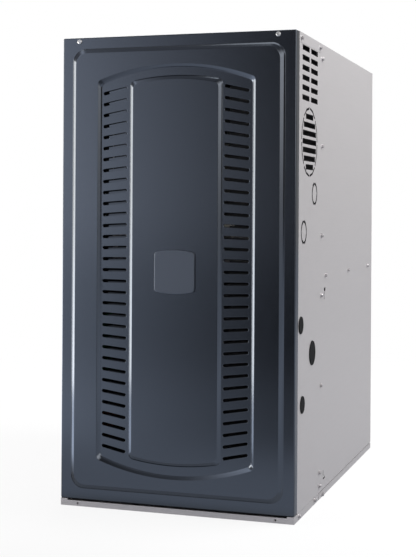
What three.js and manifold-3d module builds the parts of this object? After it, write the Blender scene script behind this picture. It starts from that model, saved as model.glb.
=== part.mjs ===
// Upflow forced air gas furnace: sheet metal cabinet with a full height louvred door, a tubular heat
// exchanger fed by four inshot burners, an induced draft blower and a double inlet circulating blower.
// Millimetres. +X is the cabinet's right side, +Y the back, +Z up. While the pieces are laid out, y = 0 is
// the plane of the door's flat margin. The group at the end centres the whole depth on the origin.
import * as THREE from 'three';
import { mergeVertices } from 'three/addons/utils/BufferGeometryUtils.js';
import Module from 'manifold-3d';

const wasm = await Module();
wasm.setup();

// ---- Driving dimensions ---------------------------------------------------------------------------
// Cabinet
const WIDTH = 444.5;
const DEPTH = 730.25;
const HEIGHT = 863.6;
const SHEET = 1.2;
const FIT = 0.4;                 // gap left between two separate pieces that touch
const FLANGE = 20;               // width of the turned in flanges
const BASE_HEIGHT = 13;
const BASE_LIP = { end: 13.25, drop: 3, hole: { inset: 33.85, z: 5.2, diameter: 4 } };
const SEAM = { top: 1.5, front: 3 };     // gaps over the rear base pan's rails and in front of them
const BAY_DEPTH = 188.5;         // front base pan and top filler
const BULKHEAD_Y = BAY_DEPTH + 11.5;     // front face of the panels behind the front bay
const DECK_Z = HEIGHT - 440.6;   // top of the blower deck
const FILLER_FLANGE = 18.6;      // height of the top filler's side flange
const TAB = { width: 19, drop: 9, rear: 22.5 };
const RETURN_HALF_WIDTH = 190;   // return air opening in the base
const RETURN_Y = [230, DEPTH - 30.25];

// Door
const DOOR_DEPTH = 20;
const DOOR_SHEET = 1.2;
const FIELD = { inset: 19.9, drop: 20.7, rise: 19.8, corner: 25, height: 5.7, slope: 8.8 };
const RECESS = { half: 149.9, top: HEIGHT - 53.1, bottom: 63, sagitta: 27.6, corner: 10, depth: 5.6, slope: 6.5 };
const PAD = { half: 88.2, top: HEIGHT - 73.6, bottom: 85.8, sagitta: 8.8, corner: 10, height: 5.2, slope: 7 };
const LOUVRE = { length: 47, height: 5.6, centre: 114.4, top: HEIGHT - 99.9, bottom: 110.9, pitch: 20.4,
  tilt: 12 };
// The flap under each slot reaches further back and rises less from the top row to the bottom row.
const FLAP = { thickness: 0.8, depth: [2.2, 7.2], rise: [4.5, 0.3], gaps: [8, 1.5] };
const BADGE = { width: 78.6, height: 79.6, bow: 4.5, corner: 6.5, thickness: 4.35, centre: 436 };
const DOOR_SCREW = { x: WIDTH / 2 - 33.25, z: HEIGHT - 7.2, head: 9.5, headHeight: 2.2, shank: 4.2, length: 26 };

// Side panel cut-outs
const VENT = { columns: [[43, 97], [109.5, 163.5]], rows: 6, top: HEIGHT - 20.2, height: 9.4, pitch: 17.75 };
const VENT_PLATE = { y: 100, z: HEIGHT - 191.6, diameter: 127, slot: 4, ties: 8, tie: 5, bars: 7, pitch: 15.2,
  bar: 9.7, chord: 108 };
const KNOCKOUTS = [{ y: 143, z: DECK_Z + 155.5, diameter: 41 },
  { y: BULKHEAD_Y - 140.5, z: DECK_Z + 85.8, diameter: 42 }];
const KNOCKOUT_SLOT = 3.2;
const KNOCKOUT_TIE = 6;
// Narrow slots behind the front bay, each with a wider hole at one end
const SLITS = [{ y: [228.5, 231.5], z: [377, 394], hole: { y: [228.5, 240], z: [393, 399.5] } },
  { y: [228.5, 231.5], z: [35, 49], hole: { y: [228.5, 243], z: [31.5, 36] } }];
const PLUGS = [{ y: 39, z: 344.2, diameter: 26 }, { y: 128, z: 285.6, diameter: 40 },
  { y: 52.5, z: 201.3, diameter: 26 }];
const PLUG_LIP = 3;              // how far a plug's rim reaches past its hole
const PLUG_RISE = 1.6;
const PLUG_DISH = 0.6;           // how far its middle lies below the rim's top
const PLUG_REACH = 3;            // how far it reaches into the cabinet

// Heat exchanger
const TUBE = { diameter: 38, wall: 1.5, sides: 8, columns: [-120, -40, 40, 120], first: DECK_Z + 47, pitch: 75,
  rear: DEPTH - 90.25, front: BULKHEAD_Y + 62, steps: 4, proud: 2.5, bored: 40 };
const TUBE_CLEARANCE = 0.5;

// Circulating blower
const WHEEL = { diameter: 254, length: 206, blade: 15, blades: 20, lean: 0.15, ring: 3, sheet: 1.1, hub: 17,
  hubLength: 14, disc: 2 };
// The scroll's radius goes from the cut-off's to the end's.
const BLOWER = { y: 420, z: 212, half: 115, cutoff: WHEEL.diameter / 2 + 10, end: WHEEL.diameter / 2 + 59,
  inlet: WHEEL.diameter - 48, flange: 14, lip: 8, sides: 20 };
const SHAFT = { diameter: 12.7, clearance: 0.3 };
const BLOWER_MOTOR = { diameter: 138, length: 84, gap: 12, band: 26, arm: 14, sides: 16 };
const CAPACITOR = { diameter: 40, length: 78, y: 420, z: BLOWER.z + BLOWER.inlet / 2 + 35 };

// Blower access door, in the bulkhead under the deck
const ACCESS = { half: 140, z: [45, DECK_Z - 28], side: 24, below: 10, above: 19, rim: 10 };
const KNOB = { diameter: 20, height: 9, disc: 3, grip: 5, shank: 7, x: ACCESS.half + 10, z: ACCESS.z[1] - 15 };
const INTERLOCK = { x: 100, z: DECK_Z - 19, body: [16, 34, 12], plunger: 5, travel: 4 };

// Front bay: burners, gas train, draft inducer and controls
const BURNER = { diameter: 34, throat: 18, length: 66 };
const BURNER_BOX = { half: 165, front: BULKHEAD_Y - 94, below: 28, above: 32 };
const IGNITER = { set: 30, y: [BULKHEAD_Y - 32, BULKHEAD_Y - 16], width: 12, height: 14, tip: 16 };
const FLAME_SENSOR = { set: 30, y: BULKHEAD_Y - 24, diameter: 10, height: 16, rod: 2.6, reach: 9 };
const MANIFOLD = { y: BULKHEAD_Y - 118, diameter: 21, spud: 11 };
const VALVE = { x: [-12, 72], y: [BULKHEAD_Y - 162, BULKHEAD_Y - 102], z: [DECK_Z + 61, DECK_Z + 113], inlet: 30,
  inletReach: 18, bore: 20, pivot: { inset: 20, rise: 26, diameter: 5, head: 18, lever: 24 } };
const COLLECTOR = { half: 150, depth: 46, below: 24, above: 60 };
const INDUCER = { x: -20, z: DECK_Z + 289, cutoff: 52, end: 74, rise: 74, throat: 52, depth: 48, wall: 1.5, eye: 44,
  wheel: 84, hub: 9, blades: 10 };
const INDUCER_MOTOR = { diameter: 82, length: 46, shaft: 8 };
const FLUE = { x: INDUCER.x + INDUCER.end - INDUCER.throat / 2, y: BULKHEAD_Y - 71, diameter: 62, wall: 1.2, collar: 12,
  sides: 16 };
const PRESSURE_SWITCH = { x: 44.25 - WIDTH / 2, z: DECK_Z + 177, diameter: 58, depth: 22, nipple: 12 };
const HOSE = { diameter: 7, sides: 6 };
const LIMIT_SWITCH = { x: 0, z: DECK_Z + 137, size: [34, 14, 26], probe: 12, reach: 26 };
const ROLLOUT = { x: [-80, 80], y: BULKHEAD_Y - 50, diameter: 22, neck: 16, height: 9, button: 6, travel: 1.5 };
const CONTROL_BOARD = { y: [62, 178], z: [205, 345], x: 26.25 - WIDTH / 2, thickness: 1.6 };
const TRANSFORMER = { y: [105, 160], z: [110, 168], x: [4.25 - WIDTH / 2, 56.25 - WIDTH / 2] };
const JUNCTION = { x: WIDTH / 2 - 50.25, y: [22, 75], z: [316, 374], hole: 30 };

// ---- Solids -----------------------------------------------------------------------------------------
// A closed mesh with merged vertices, faces out, as a solid.
function solid(geometry) {
  const bare = geometry.clone();
  for (const name of Object.keys(bare.attributes)) {
    if (name !== 'position') bare.deleteAttribute(name);
  }
  const merged = mergeVertices(bare, 1e-3);
  const index = merged.index.array;
  const corners = merged.attributes.position.array;
  const faces = [];
  let volume = 0;
  const [a, b, c] = [new THREE.Vector3(), new THREE.Vector3(), new THREE.Vector3()];
  for (let i = 0; i < index.length; i += 3) {
    const [p, q, r] = [index[i], index[i + 1], index[i + 2]];
    if (p === q || q === r || r === p) continue;
    faces.push(p, q, r);
    volume += a.fromArray(corners, 3 * p).dot(b.fromArray(corners, 3 * q).cross(c.fromArray(corners, 3 * r)));
  }
  if (volume < 0) faces.reverse();
  const mesh = new wasm.Mesh({
    numProp: 3,
    vertProperties: new Float32Array(corners),
    triVerts: new Uint32Array(faces),
  });
  return new wasm.Manifold(mesh);
}

const join = (first, ...others) => others.reduce((whole, piece) => whole.add(piece), first);
const cut = (first, ...others) => others.reduce((whole, piece) => whole.subtract(piece), first);

// A box between two corners.
function box(x, y, z) {
  const geometry = new THREE.BoxGeometry(x[1] - x[0], y[1] - y[0], z[1] - z[0]);
  return solid(geometry.translate((x[0] + x[1]) / 2, (y[0] + y[1]) / 2, (z[0] + z[1]) / 2));
}

// The outline's own plane turned so that it is extruded along an axis. An outline is drawn in (y, z) for x,
// in (x, z) for y and in (x, y) for z.
const TURNS = {
  x: new THREE.Matrix4().set(0, 0, 1, 0, 1, 0, 0, 0, 0, 1, 0, 0, 0, 0, 0, 1),
  y: new THREE.Matrix4().set(1, 0, 0, 0, 0, 0, 1, 0, 0, 1, 0, 0, 0, 0, 0, 1),
  z: new THREE.Matrix4(),
};

// An outline of [u, v] points extruded along an axis between two places on it.
function extruded(axis, outline, [start, end]) {
  const shape = new THREE.Shape(outline.map(([u, v]) => new THREE.Vector2(u, v)));
  const geometry = new THREE.ExtrudeGeometry(shape, { depth: end - start, bevelEnabled: false });
  return geometry.translate(0, 0, start).applyMatrix4(TURNS[axis]);
}

const prism = (axis, outline, span) => solid(extruded(axis, outline, span));

// A solid between two outlines with the same number of [x, z] points, on planes at two values of y.
function loft(outlineA, yA, outlineB, yB) {
  const count = outlineA.length;
  const corners = [...outlineA.map(([x, z]) => [x, yA, z]), ...outlineB.map(([x, z]) => [x, yB, z])].flat();
  const cap = THREE.ShapeUtils.triangulateShape(outlineA.map(([x, z]) => new THREE.Vector2(x, z)), []);
  const faces = [];
  for (const [p, q, r] of cap) {
    faces.push(p, q, r, count + r, count + q, count + p);
  }
  for (let i = 0; i < count; i += 1) {
    const next = (i + 1) % count;
    faces.push(next, i, count + i, next, count + i, count + next);
  }
  const geometry = new THREE.BufferGeometry();
  geometry.setAttribute('position', new THREE.Float32BufferAttribute(corners, 3));
  geometry.setIndex(faces);
  return solid(geometry);
}

// A profile of [radius, along] points turned about an axis through a place.
function turned(axis, profile, sides, [x, y, z]) {
  const points = profile.map(([radius, along]) => new THREE.Vector2(radius, along));
  const geometry = new THREE.LatheGeometry(points, sides);
  if (axis === 'x') geometry.rotateZ(-Math.PI / 2);
  if (axis === 'z') geometry.rotateX(Math.PI / 2);
  return solid(geometry.translate(x, y, z));
}

// A round bar along an axis, between two places on it. The other two coordinates come in the order x, y, z.
function bar(axis, radius, [start, end], [p, q], sides = 16) {
  const at = { x: [0, p, q], y: [p, 0, q], z: [p, q, 0] }[axis];
  return turned(axis, [[0, start], [radius, start], [radius, end], [0, end]], sides, at);
}

// A round sleeve with its bore, along an axis.
function sleeve(axis, outer, inner, [start, end], [p, q], sides = 16) {
  const at = { x: [0, p, q], y: [p, 0, q], z: [p, q, 0] }[axis];
  const profile = [[inner, start], [outer, start], [outer, end], [inner, end], [inner, start]];
  return turned(axis, profile, sides, at);
}

// Points on an arc about a centre, from one angle to another, both ends included.
function arc([u, v], radius, from, to, steps) {
  return Array.from({ length: steps + 1 }, (_, i) => {
    const angle = from + ((to - from) * i) / steps;
    return [u + radius * Math.cos(angle), v + radius * Math.sin(angle)];
  });
}

// A rectangle with round corners.
function roundedRect([u0, u1], [v0, v1], radius, steps) {
  const quarter = Math.PI / 2;
  return [
    ...arc([u1 - radius, v0 + radius], radius, -quarter, 0, steps),
    ...arc([u1 - radius, v1 - radius], radius, 0, quarter, steps),
    ...arc([u0 + radius, v1 - radius], radius, quarter, 2 * quarter, steps),
    ...arc([u0 + radius, v0 + radius], radius, 2 * quarter, 3 * quarter, steps),
  ];
}

// A rectangle whose top and bottom bow outward by a sagitta, with round corners.
function bowedRect(half, [bottom, top], sagitta, radius, bowSteps = 8, cornerSteps = 3) {
  const bow = (half * half + sagitta * sagitta) / (2 * sagitta);
  const inner = bow - radius;                                  // corner centres lie on this smaller arc
  const lean = Math.asin((half - radius) / inner);
  const quarter = Math.PI / 2;
  const centreTop = [0, top - bow];
  const cornerTop = [inner * Math.sin(lean), centreTop[1] + inner * Math.cos(lean)];
  const upper = [
    ...arc(cornerTop, radius, 0, quarter - lean, cornerSteps),
    ...arc(centreTop, bow, quarter - lean, quarter + lean, bowSteps).slice(1, -1),
    ...arc([-cornerTop[0], cornerTop[1]], radius, quarter + lean, 2 * quarter, cornerSteps),
  ];
  const lower = upper.map(([u, v]) => [-u, bottom + top - v]);
  return [...upper, ...lower];
}

// A solid's faces as a geometry.
function geometryOf(piece) {
  const { vertProperties, triVerts, numProp } = piece.getMesh();
  const corners = new Float32Array((vertProperties.length / numProp) * 3);
  for (let i = 0; i < corners.length / 3; i += 1) {
    corners.set(vertProperties.subarray(i * numProp, i * numProp + 3), 3 * i);
  }
  const geometry = new THREE.BufferGeometry();
  geometry.setAttribute('position', new THREE.BufferAttribute(corners, 3));
  geometry.setIndex(new THREE.BufferAttribute(triVerts, 1));
  return geometry;
}

// The same piece for the cabinet's other side.
const mirrored = (piece) => solid(geometryOf(piece).scale(-1, 1, 1));

// ---- Finishes ---------------------------------------------------------------------------------------
const finish = (color, roughness, metalness) => ({ color, roughness, metalness });
const PAINT = finish(0x4a4e58, 0.45, 0.1);
const PLATE_PAINT = finish(0x555965, 0.4, 0.1);
const GALVANISED = finish(0xc9c7c8, 0.5, 0.6);
const ALUMINISED = finish(0xa7a6a2, 0.45, 0.8);
const BLACK_PLASTIC = finish(0x141417, 0.5, 0);
const BRIGHT = finish(0xdedede, 0.25, 1);
const BLACK_STEEL = finish(0x2a2b2e, 0.55, 0.4);
const BOARD = finish(0x1d5a35, 0.6, 0);
const CERAMIC = finish(0xe6e2d8, 0.8, 0);
const RED_PLASTIC = finish(0xa02a22, 0.5, 0);
const COPPER = finish(0xa5643a, 0.4, 0.9);
const SILICONE = finish(0x3a3a40, 0.7, 0);

const furnace = new THREE.Group();

// Puts a piece in the assembly under a name.
function place(name, piece, look) {
  const geometry = geometryOf(piece);
  geometry.computeVertexNormals();
  const mesh = new THREE.Mesh(geometry, new THREE.MeshStandardMaterial(look));
  mesh.name = name;
  furnace.add(mesh);
}

// ---- Places that several pieces share ---------------------------------------------------------------
const HALF = WIDTH / 2;
const WALL = HALF - SHEET;                         // inner face of a side panel
const INSIDE = WALL - FIT;                         // reach of what fits between the side panels
const PANEL_FRONT = DOOR_DEPTH + FIT;
const PANEL_BOTTOM = BASE_HEIGHT + FIT;
const FLOOR = PANEL_BOTTOM + SHEET + FIT;          // above the side panels' bottom flanges
const CEILING = HEIGHT - SHEET - FIT;              // under the top flanges
const FILLER_BOTTOM = HEIGHT - FILLER_FLANGE;
const REAR_TOP_FRONT = BAY_DEPTH + FIT;
const TAB_FRONT = PANEL_FRONT + SHEET + FIT;
const BACK_FACE = DEPTH - SHEET;
const DECK_UNDER = DECK_Z - SHEET;

// ---- Cabinet ----------------------------------------------------------------------------------------
function frontBasePan() {
  const { end, drop, hole } = BASE_LIP;
  const lip = HALF - end;                           // the front edge stands full height outside of this
  const low = BASE_HEIGHT - drop;
  const full = [[-HALF, 0], [HALF, 0], [HALF, BASE_HEIGHT - FIT], [lip, BASE_HEIGHT - FIT], [lip, low],
    [-lip, low], [-lip, BASE_HEIGHT - FIT], [-HALF, BASE_HEIGHT - FIT]];
  const pan = join(
    box([-HALF, HALF], [0, BAY_DEPTH], [0, SHEET]),
    prism('y', full, [0, SHEET]),
    box([-WALL, WALL], [BAY_DEPTH - SHEET, BAY_DEPTH], [0, BASE_HEIGHT - SHEET]),
    ...[-1, 1].flatMap((side) => sideRail(side, [0, BAY_DEPTH], [PANEL_FRONT, BAY_DEPTH])),
  );
  return cut(pan, ...[-1, 1].map((side) => bar('y', hole.diameter / 2, [-1, SHEET + 1],
    [side * (HALF - hole.inset), hole.z], 8)));
}

// The web and the turned in top flange of one side of the front base pan.
function sideRail(side, web, flange) {
  const reach = (inner) => (side > 0 ? [inner, HALF] : [-HALF, -inner]);
  return [
    box(reach(WALL), web, [0, BASE_HEIGHT]),
    box(reach(HALF - FLANGE), flange, [BASE_HEIGHT - SHEET, BASE_HEIGHT]),
  ];
}

function rearBasePan() {
  const front = BAY_DEPTH + SEAM.front;
  const top = BASE_HEIGHT - SEAM.top;
  const inside = [front + SHEET, BACK_FACE];
  return cut(
    box([-HALF, HALF], [front, DEPTH], [0, top]),
    box([-WALL, WALL], inside, [SHEET, top - SHEET]),
    box([FLANGE - HALF, HALF - FLANGE], inside, [top - SHEET - 1, top + 1]),
    box([-RETURN_HALF_WIDTH, RETURN_HALF_WIDTH], RETURN_Y, [-1, SHEET + 1]),
  );
}

// The slots of a round plate that is held in the panel by narrow ties.
function ringSlots({ y, z, diameter }, width, ties, tie, first, steps) {
  const outer = diameter / 2;
  const gap = tie / 2 / outer;
  return Array.from({ length: ties }, (_, i) => {
    const from = first + (i * 2 * Math.PI) / ties + gap;
    const to = first + ((i + 1) * 2 * Math.PI) / ties - gap;
    const outline = [...arc([y, z], outer, from, to, steps), ...arc([y, z], outer - width, to, from, steps)];
    return prism('x', outline, [WALL - 1, HALF + 1]);
  });
}

function ventSlots() {
  const through = [WALL - 1, HALF + 1];
  const slots = [];
  for (let row = 0; row < VENT.rows; row += 1) {
    const top = VENT.top - row * VENT.pitch;
    for (const column of VENT.columns) {
      slots.push(box(through, column, [top - VENT.height, top]));
    }
  }
  const plate = VENT_PLATE;
  slots.push(...ringSlots(plate, plate.slot, plate.ties, plate.tie, Math.PI / 2, 2));
  for (let i = 0; i < plate.bars; i += 1) {
    const off = (i - (plate.bars - 1) / 2) * plate.pitch;
    const chord = Math.sqrt((plate.chord / 2) ** 2 - off ** 2);
    const [low, high] = [plate.z + off - plate.bar / 2, plate.z + off + plate.bar / 2];
    slots.push(box(through, [plate.y - chord, plate.y + chord], [low, high]));
  }
  for (const knockout of KNOCKOUTS) {
    slots.push(...ringSlots(knockout, KNOCKOUT_SLOT, 2, KNOCKOUT_TIE, 0, 4));
  }
  for (const { y, z, hole } of SLITS) {
    slots.push(join(box(through, y, z), box(through, hole.y, hole.z)));
  }
  return slots;
}

// The right side panel. The left one is its mirror image, with its plugged holes left unpunched.
function sidePanel(plugHoles) {
  const skin = [[PANEL_FRONT, PANEL_BOTTOM], [DEPTH, PANEL_BOTTOM], [DEPTH, HEIGHT], [REAR_TOP_FRONT, HEIGHT],
    [REAR_TOP_FRONT, FILLER_BOTTOM - FIT], [PANEL_FRONT, FILLER_BOTTOM - FIT]];
  const inward = [HALF - FLANGE, HALF];
  const toBack = BACK_FACE - FIT;
  const panel = join(
    prism('x', skin, [WALL, HALF]),
    box(inward, [PANEL_FRONT, PANEL_FRONT + SHEET], [PANEL_BOTTOM, FILLER_BOTTOM - FIT]),
    box(inward, [REAR_TOP_FRONT, toBack], [HEIGHT - SHEET, HEIGHT]),
    box(inward, [PANEL_FRONT, toBack], [PANEL_BOTTOM, PANEL_BOTTOM + SHEET]),
    ...[[TAB_FRONT, TAB_FRONT + TAB.width], [BAY_DEPTH - TAB.rear, BAY_DEPTH]].flatMap(insetTab),
  );
  const holes = plugHoles
    ? PLUGS.map(({ y, z, diameter }) => bar('x', diameter / 2, [WALL - 1, HALF + 1], [y, z], 16))
    : [];
  return cut(panel, ...ventSlots(), ...holes);
}

// A tab set in by one sheet, which the top filler's side flange lies against.
function insetTab(span) {
  const reach = [WALL - FIT - SHEET, WALL - FIT];
  return [
    box(reach, span, [FILLER_BOTTOM - TAB.drop, CEILING]),
    box([reach[0], WALL + SHEET / 2], span, [FILLER_BOTTOM - TAB.drop, FILLER_BOTTOM - FIT]),
  ];
}

function backPanel() {
  const flange = INSIDE - SHEET;
  return join(
    box([-INSIDE, INSIDE], [BACK_FACE, DEPTH], [PANEL_BOTTOM, HEIGHT]),
    box([-INSIDE, -flange], [DEPTH - FLANGE, DEPTH], [FLOOR, CEILING]),
    box([flange, INSIDE], [DEPTH - FLANGE, DEPTH], [FLOOR, CEILING]),
    box([-(HALF - FLANGE - FIT), HALF - FLANGE - FIT], [DEPTH - FLANGE, DEPTH], [HEIGHT - SHEET, HEIGHT]),
  );
}

function topFiller() {
  const shell = cut(
    box([-HALF, HALF], [PANEL_FRONT, BAY_DEPTH], [FILLER_BOTTOM, HEIGHT]),
    box([-WALL, WALL], [PANEL_FRONT + SHEET, BAY_DEPTH + 1], [FILLER_BOTTOM - 1, HEIGHT - SHEET]),
  );
  const screws = [-1, 1].map((side) => bar('y', DOOR_SCREW.shank / 2 + FIT, [PANEL_FRONT - 1,
    PANEL_FRONT + SHEET + 1], [side * DOOR_SCREW.x, DOOR_SCREW.z], 10));
  const flue = bar('z', FLUE.diameter / 2 + FIT, [HEIGHT - SHEET - 1, HEIGHT + 1], [FLUE.x, FLUE.y], FLUE.sides);
  return cut(shell, flue, ...screws);
}

// A cap pressed into a hole, its rim against the panel's outside.
function holePlug({ y, z, diameter }) {
  const hole = diameter / 2 - FIT;
  const rim = diameter / 2 + PLUG_LIP;
  const face = HALF + FIT / 2;
  const crown = face + PLUG_RISE - PLUG_DISH;
  const profile = [[0, WALL - PLUG_REACH], [hole, WALL - PLUG_REACH], [hole, face], [rim, face],
    [rim - 0.8, face + PLUG_RISE], [hole - 2, crown], [0, crown]];
  return turned('x', profile, 16, [0, y, z]);
}

// ---- Front door -------------------------------------------------------------------------------------
const FIELD_TOP = -FIELD.height;
const RECESS_FLOOR = FIELD_TOP + RECESS.depth;
const PAD_TOP = RECESS_FLOOR - PAD.height;
const DOOR_BOTTOM = PANEL_BOTTOM;

// The door's form, drawn once for its outside and once, set in by the sheet, for its inside.
function doorForm(set, back) {
  const half = HALF - set;
  const bend = 1.5;
  const tray = [[-half, back], [-half, set + bend], [bend - half, set], [half - bend, set],
    [half, set + bend], [half, back]];
  const field = (inset) => roundedRect(
    [FIELD.inset + inset - HALF, HALF - FIELD.inset - inset],
    [DOOR_BOTTOM + FIELD.rise + inset, HEIGHT - FIELD.drop - inset],
    FIELD.corner - inset / 2,
    4,
  );
  const recess = (inset) => bowedRect(RECESS.half - inset, [RECESS.bottom + inset, RECESS.top - inset],
    RECESS.sagitta, RECESS.corner);
  const pad = (inset) => bowedRect(PAD.half - inset, [PAD.bottom + inset, PAD.top - inset], PAD.sagitta,
    PAD.corner);
  const raised = join(
    prism('z', tray, [DOOR_BOTTOM + set, HEIGHT - set]),
    loft(field(0), set + DOOR_SHEET, field(0), set),
    loft(field(0), set, field(FIELD.slope), set + FIELD_TOP),
  );
  const sunk = cut(
    raised,
    loft(recess(-1), set + FIELD_TOP - 1, recess(RECESS.slope), set + RECESS_FLOOR),
  );
  return join(sunk, loft(pad(0), set + RECESS_FLOOR, pad(PAD.slope), set + PAD_TOP));
}

// Every louvre's centre and lean, and its share of the way down. They lean with the arches, and lie level half
// way down.
function louvrePlaces() {
  const last = Math.round((LOUVRE.top - LOUVRE.bottom) / LOUVRE.pitch);
  return Array.from({ length: last + 1 }, (_, row) => [-1, 1].map((side) => ({
    x: side * LOUVRE.centre,
    z: LOUVRE.top - row * LOUVRE.pitch,
    lean: THREE.MathUtils.degToRad(side * LOUVRE.tilt * (1 - (2 * row) / last)),
    share: row / last,
  }))).flat();
}

// The section of a louvre's flap in (y, z), from inside the sheet under the slot to its free edge.
function flapSection(share) {
  const { thickness, depth, rise } = FLAP;
  const foot = [RECESS_FLOOR + DOOR_SHEET * 0.75, -LOUVRE.height / 2 - thickness * 0.8];
  const run = [depth, rise].map(([top, bottom]) => top + (bottom - top) * share);
  const half = thickness / 2 / Math.hypot(...run);
  const [along, up] = [-run[1] * half, run[0] * half];
  const tip = [foot[0] + run[0], foot[1] + run[1]];
  return [[foot[0] - along, foot[1] - up], [tip[0] - along, tip[1] - up], [tip[0] + along, tip[1] + up],
    [foot[0] + along, foot[1] + up]];
}

function frontDoor() {
  const sheet = cut(doorForm(0, DOOR_DEPTH), doorForm(DOOR_SHEET, DOOR_DEPTH + 1));
  const end = LOUVRE.height / 2;
  const straight = LOUVRE.length / 2 - end;
  const quarter = Math.PI / 2;
  const slot = [...arc([straight, 0], end, -quarter, quarter, 2), ...arc([-straight, 0], end, quarter,
    3 * quarter, 2)];
  const behind = RECESS_FLOOR + DOOR_SHEET;
  const reach = [FLAP.gaps[0] - LOUVRE.length / 2, LOUVRE.length / 2 - FLAP.gaps[1]];
  const put = (geometry, { x, z, lean }) => solid(geometry.rotateY(lean).translate(x, 0, z));
  const places = louvrePlaces();
  const slots = places.map((at) => put(extruded('y', slot, [RECESS_FLOOR - 1, behind + 1]), at));
  const flaps = places.map((at) => put(extruded('x', flapSection(at.share), reach), at));
  const screws = [-1, 1].map((side) => bar('y', DOOR_SCREW.shank / 2 + FIT, [-1, DOOR_SHEET + 1],
    [side * DOOR_SCREW.x, DOOR_SCREW.z], 10));
  return join(cut(sheet, ...slots, ...screws), ...flaps);
}

function badge() {
  const back = PAD_TOP - FIT;
  const front = back - BADGE.thickness;
  const edge = 1;
  const outline = (inset) => bowedRect(
    BADGE.width / 2 - inset,
    [BADGE.centre - BADGE.height / 2 + inset, BADGE.centre + BADGE.height / 2 - inset],
    BADGE.bow,
    BADGE.corner,
  );
  return join(
    loft(outline(0), back, outline(0), front + edge),
    loft(outline(0), front + edge, outline(edge), front),
  );
}

// A pan head screw along -Y with a cross recess, its head against the door's margin.
function doorScrew(side) {
  const { head, headHeight, shank, length, x, z } = DOOR_SCREW;
  const face = -FIT / 2;
  const profile = [[0, face - headHeight], [head * 0.3, face - headHeight], [head * 0.44, face - headHeight * 0.7],
    [head / 2, face], [shank / 2, face], [shank / 2, length], [0, length]];
  const arm = head * 0.3;
  const recess = [face - headHeight - 1, face - headHeight + 1.1];
  return cut(
    turned('y', profile, 12, [side * x, 0, z]),
    box([side * x - arm, side * x + arm], recess, [z - 0.6, z + 0.6]),
    box([side * x - 0.6, side * x + 0.6], recess, [z - arm, z + arm]),
  );
}

// ---- Bulkheads and deck -----------------------------------------------------------------------------
const BULKHEAD_BACK = BULKHEAD_Y + SHEET;

function vestibulePanel() {
  const hook = BAY_DEPTH - 10;                       // its top flange reaches under the top filler
  const bottom = DECK_Z + FIT;
  const panel = join(
    box([-INSIDE, INSIDE], [BULKHEAD_Y, BULKHEAD_BACK], [bottom, CEILING]),
    box([-INSIDE + 2, INSIDE - 2], [hook, BULKHEAD_BACK], [CEILING - SHEET, CEILING]),
    box([-INSIDE, SHEET - INSIDE], [BULKHEAD_Y, BULKHEAD_Y + FLANGE], [bottom, CEILING]),
    box([INSIDE - SHEET, INSIDE], [BULKHEAD_Y, BULKHEAD_Y + FLANGE], [bottom, CEILING]),
  );
  const ends = TUBE.columns.flatMap((x) => [[x, TUBE.first], [x, LAST_PASS]]);
  const through = [BULKHEAD_Y - 1, BULKHEAD_BACK + 1];
  const tubes = ends.map((at) => bar('y', TUBE.diameter / 2 + TUBE_CLEARANCE, through, at, TUBE.sides));
  const probe = bar('y', LIMIT_SWITCH.probe / 2 + FIT, through, [LIMIT_SWITCH.x, LIMIT_SWITCH.z], 10);
  const tabs = [-1, 1].map((side) => box(side > 0 ? [WALL - FIT - SHEET - FIT, HALF] : [-HALF, SHEET + 2 * FIT - WALL],
    [BAY_DEPTH - 30, BAY_DEPTH + FIT], [CEILING - SHEET - 1, CEILING + 1]));
  return cut(panel, ...tubes, probe, ...tabs);
}

function blowerDeck() {
  const narrow = INSIDE - SHEET - FIT;               // beside the back panel's flanges
  const back = BACK_FACE - FIT;
  const step = DEPTH - FLANGE - FIT;
  const front = BULKHEAD_BACK + FIT;
  const outline = [[-INSIDE, front], [INSIDE, front], [INSIDE, step], [narrow, step], [narrow, back],
    [-narrow, back], [-narrow, step], [-INSIDE, step]];
  const flange = [DECK_UNDER - 12, DECK_UNDER];
  const deck = join(
    prism('z', outline, [DECK_UNDER, DECK_Z]),
    box([-INSIDE, SHEET - INSIDE], [front, step], flange),
    box([INSIDE - SHEET, INSIDE], [front, step], flange),
  );
  const outlet = [BLOWER.y, BLOWER.y + BLOWER.end];
  return cut(deck, box([-BLOWER.half, BLOWER.half], outlet, [DECK_UNDER - 1, DECK_Z + 1]));
}

function lowerBulkhead() {
  const panel = join(
    box([-INSIDE, INSIDE], [BULKHEAD_Y, BULKHEAD_BACK], [FLOOR, DECK_UNDER - FIT]),
    box([-INSIDE, INSIDE], [BULKHEAD_Y - 12, BULKHEAD_BACK], [FLOOR, FLOOR + SHEET]),
  );
  const latches = [-1, 1].map((side) => bar('y', KNOB.shank / 2 + FIT, [BULKHEAD_Y - 1, BULKHEAD_BACK + 1],
    [side * KNOB.x, KNOB.z], 10));
  const plunger = bar('y', INTERLOCK.plunger / 2 + FIT, [BULKHEAD_Y - 1, BULKHEAD_BACK + 1],
    [INTERLOCK.x, INTERLOCK.z], 10);
  return cut(panel, box([-ACCESS.half, ACCESS.half], [BULKHEAD_Y - 1, BULKHEAD_BACK + 1], ACCESS.z), ...latches,
    plunger);
}

// The access door covers the opening and has a rim turned toward the front.
function blowerDoor() {
  const half = ACCESS.half + ACCESS.side;
  const back = BULKHEAD_Y - FIT;
  const z = [ACCESS.z[0] - ACCESS.below, ACCESS.z[1] + ACCESS.above];
  const door = cut(
    box([-half, half], [back - ACCESS.rim, back], z),
    box([SHEET - half, half - SHEET], [back - ACCESS.rim - 1, back - SHEET], [z[0] + SHEET, z[1] - SHEET]),
  );
  const latches = [-1, 1].map((side) => bar('y', KNOB.shank / 2 + FIT, [back - SHEET - 1, back + 1],
    [side * KNOB.x, KNOB.z], 10));
  return cut(door, ...latches);
}

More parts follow.
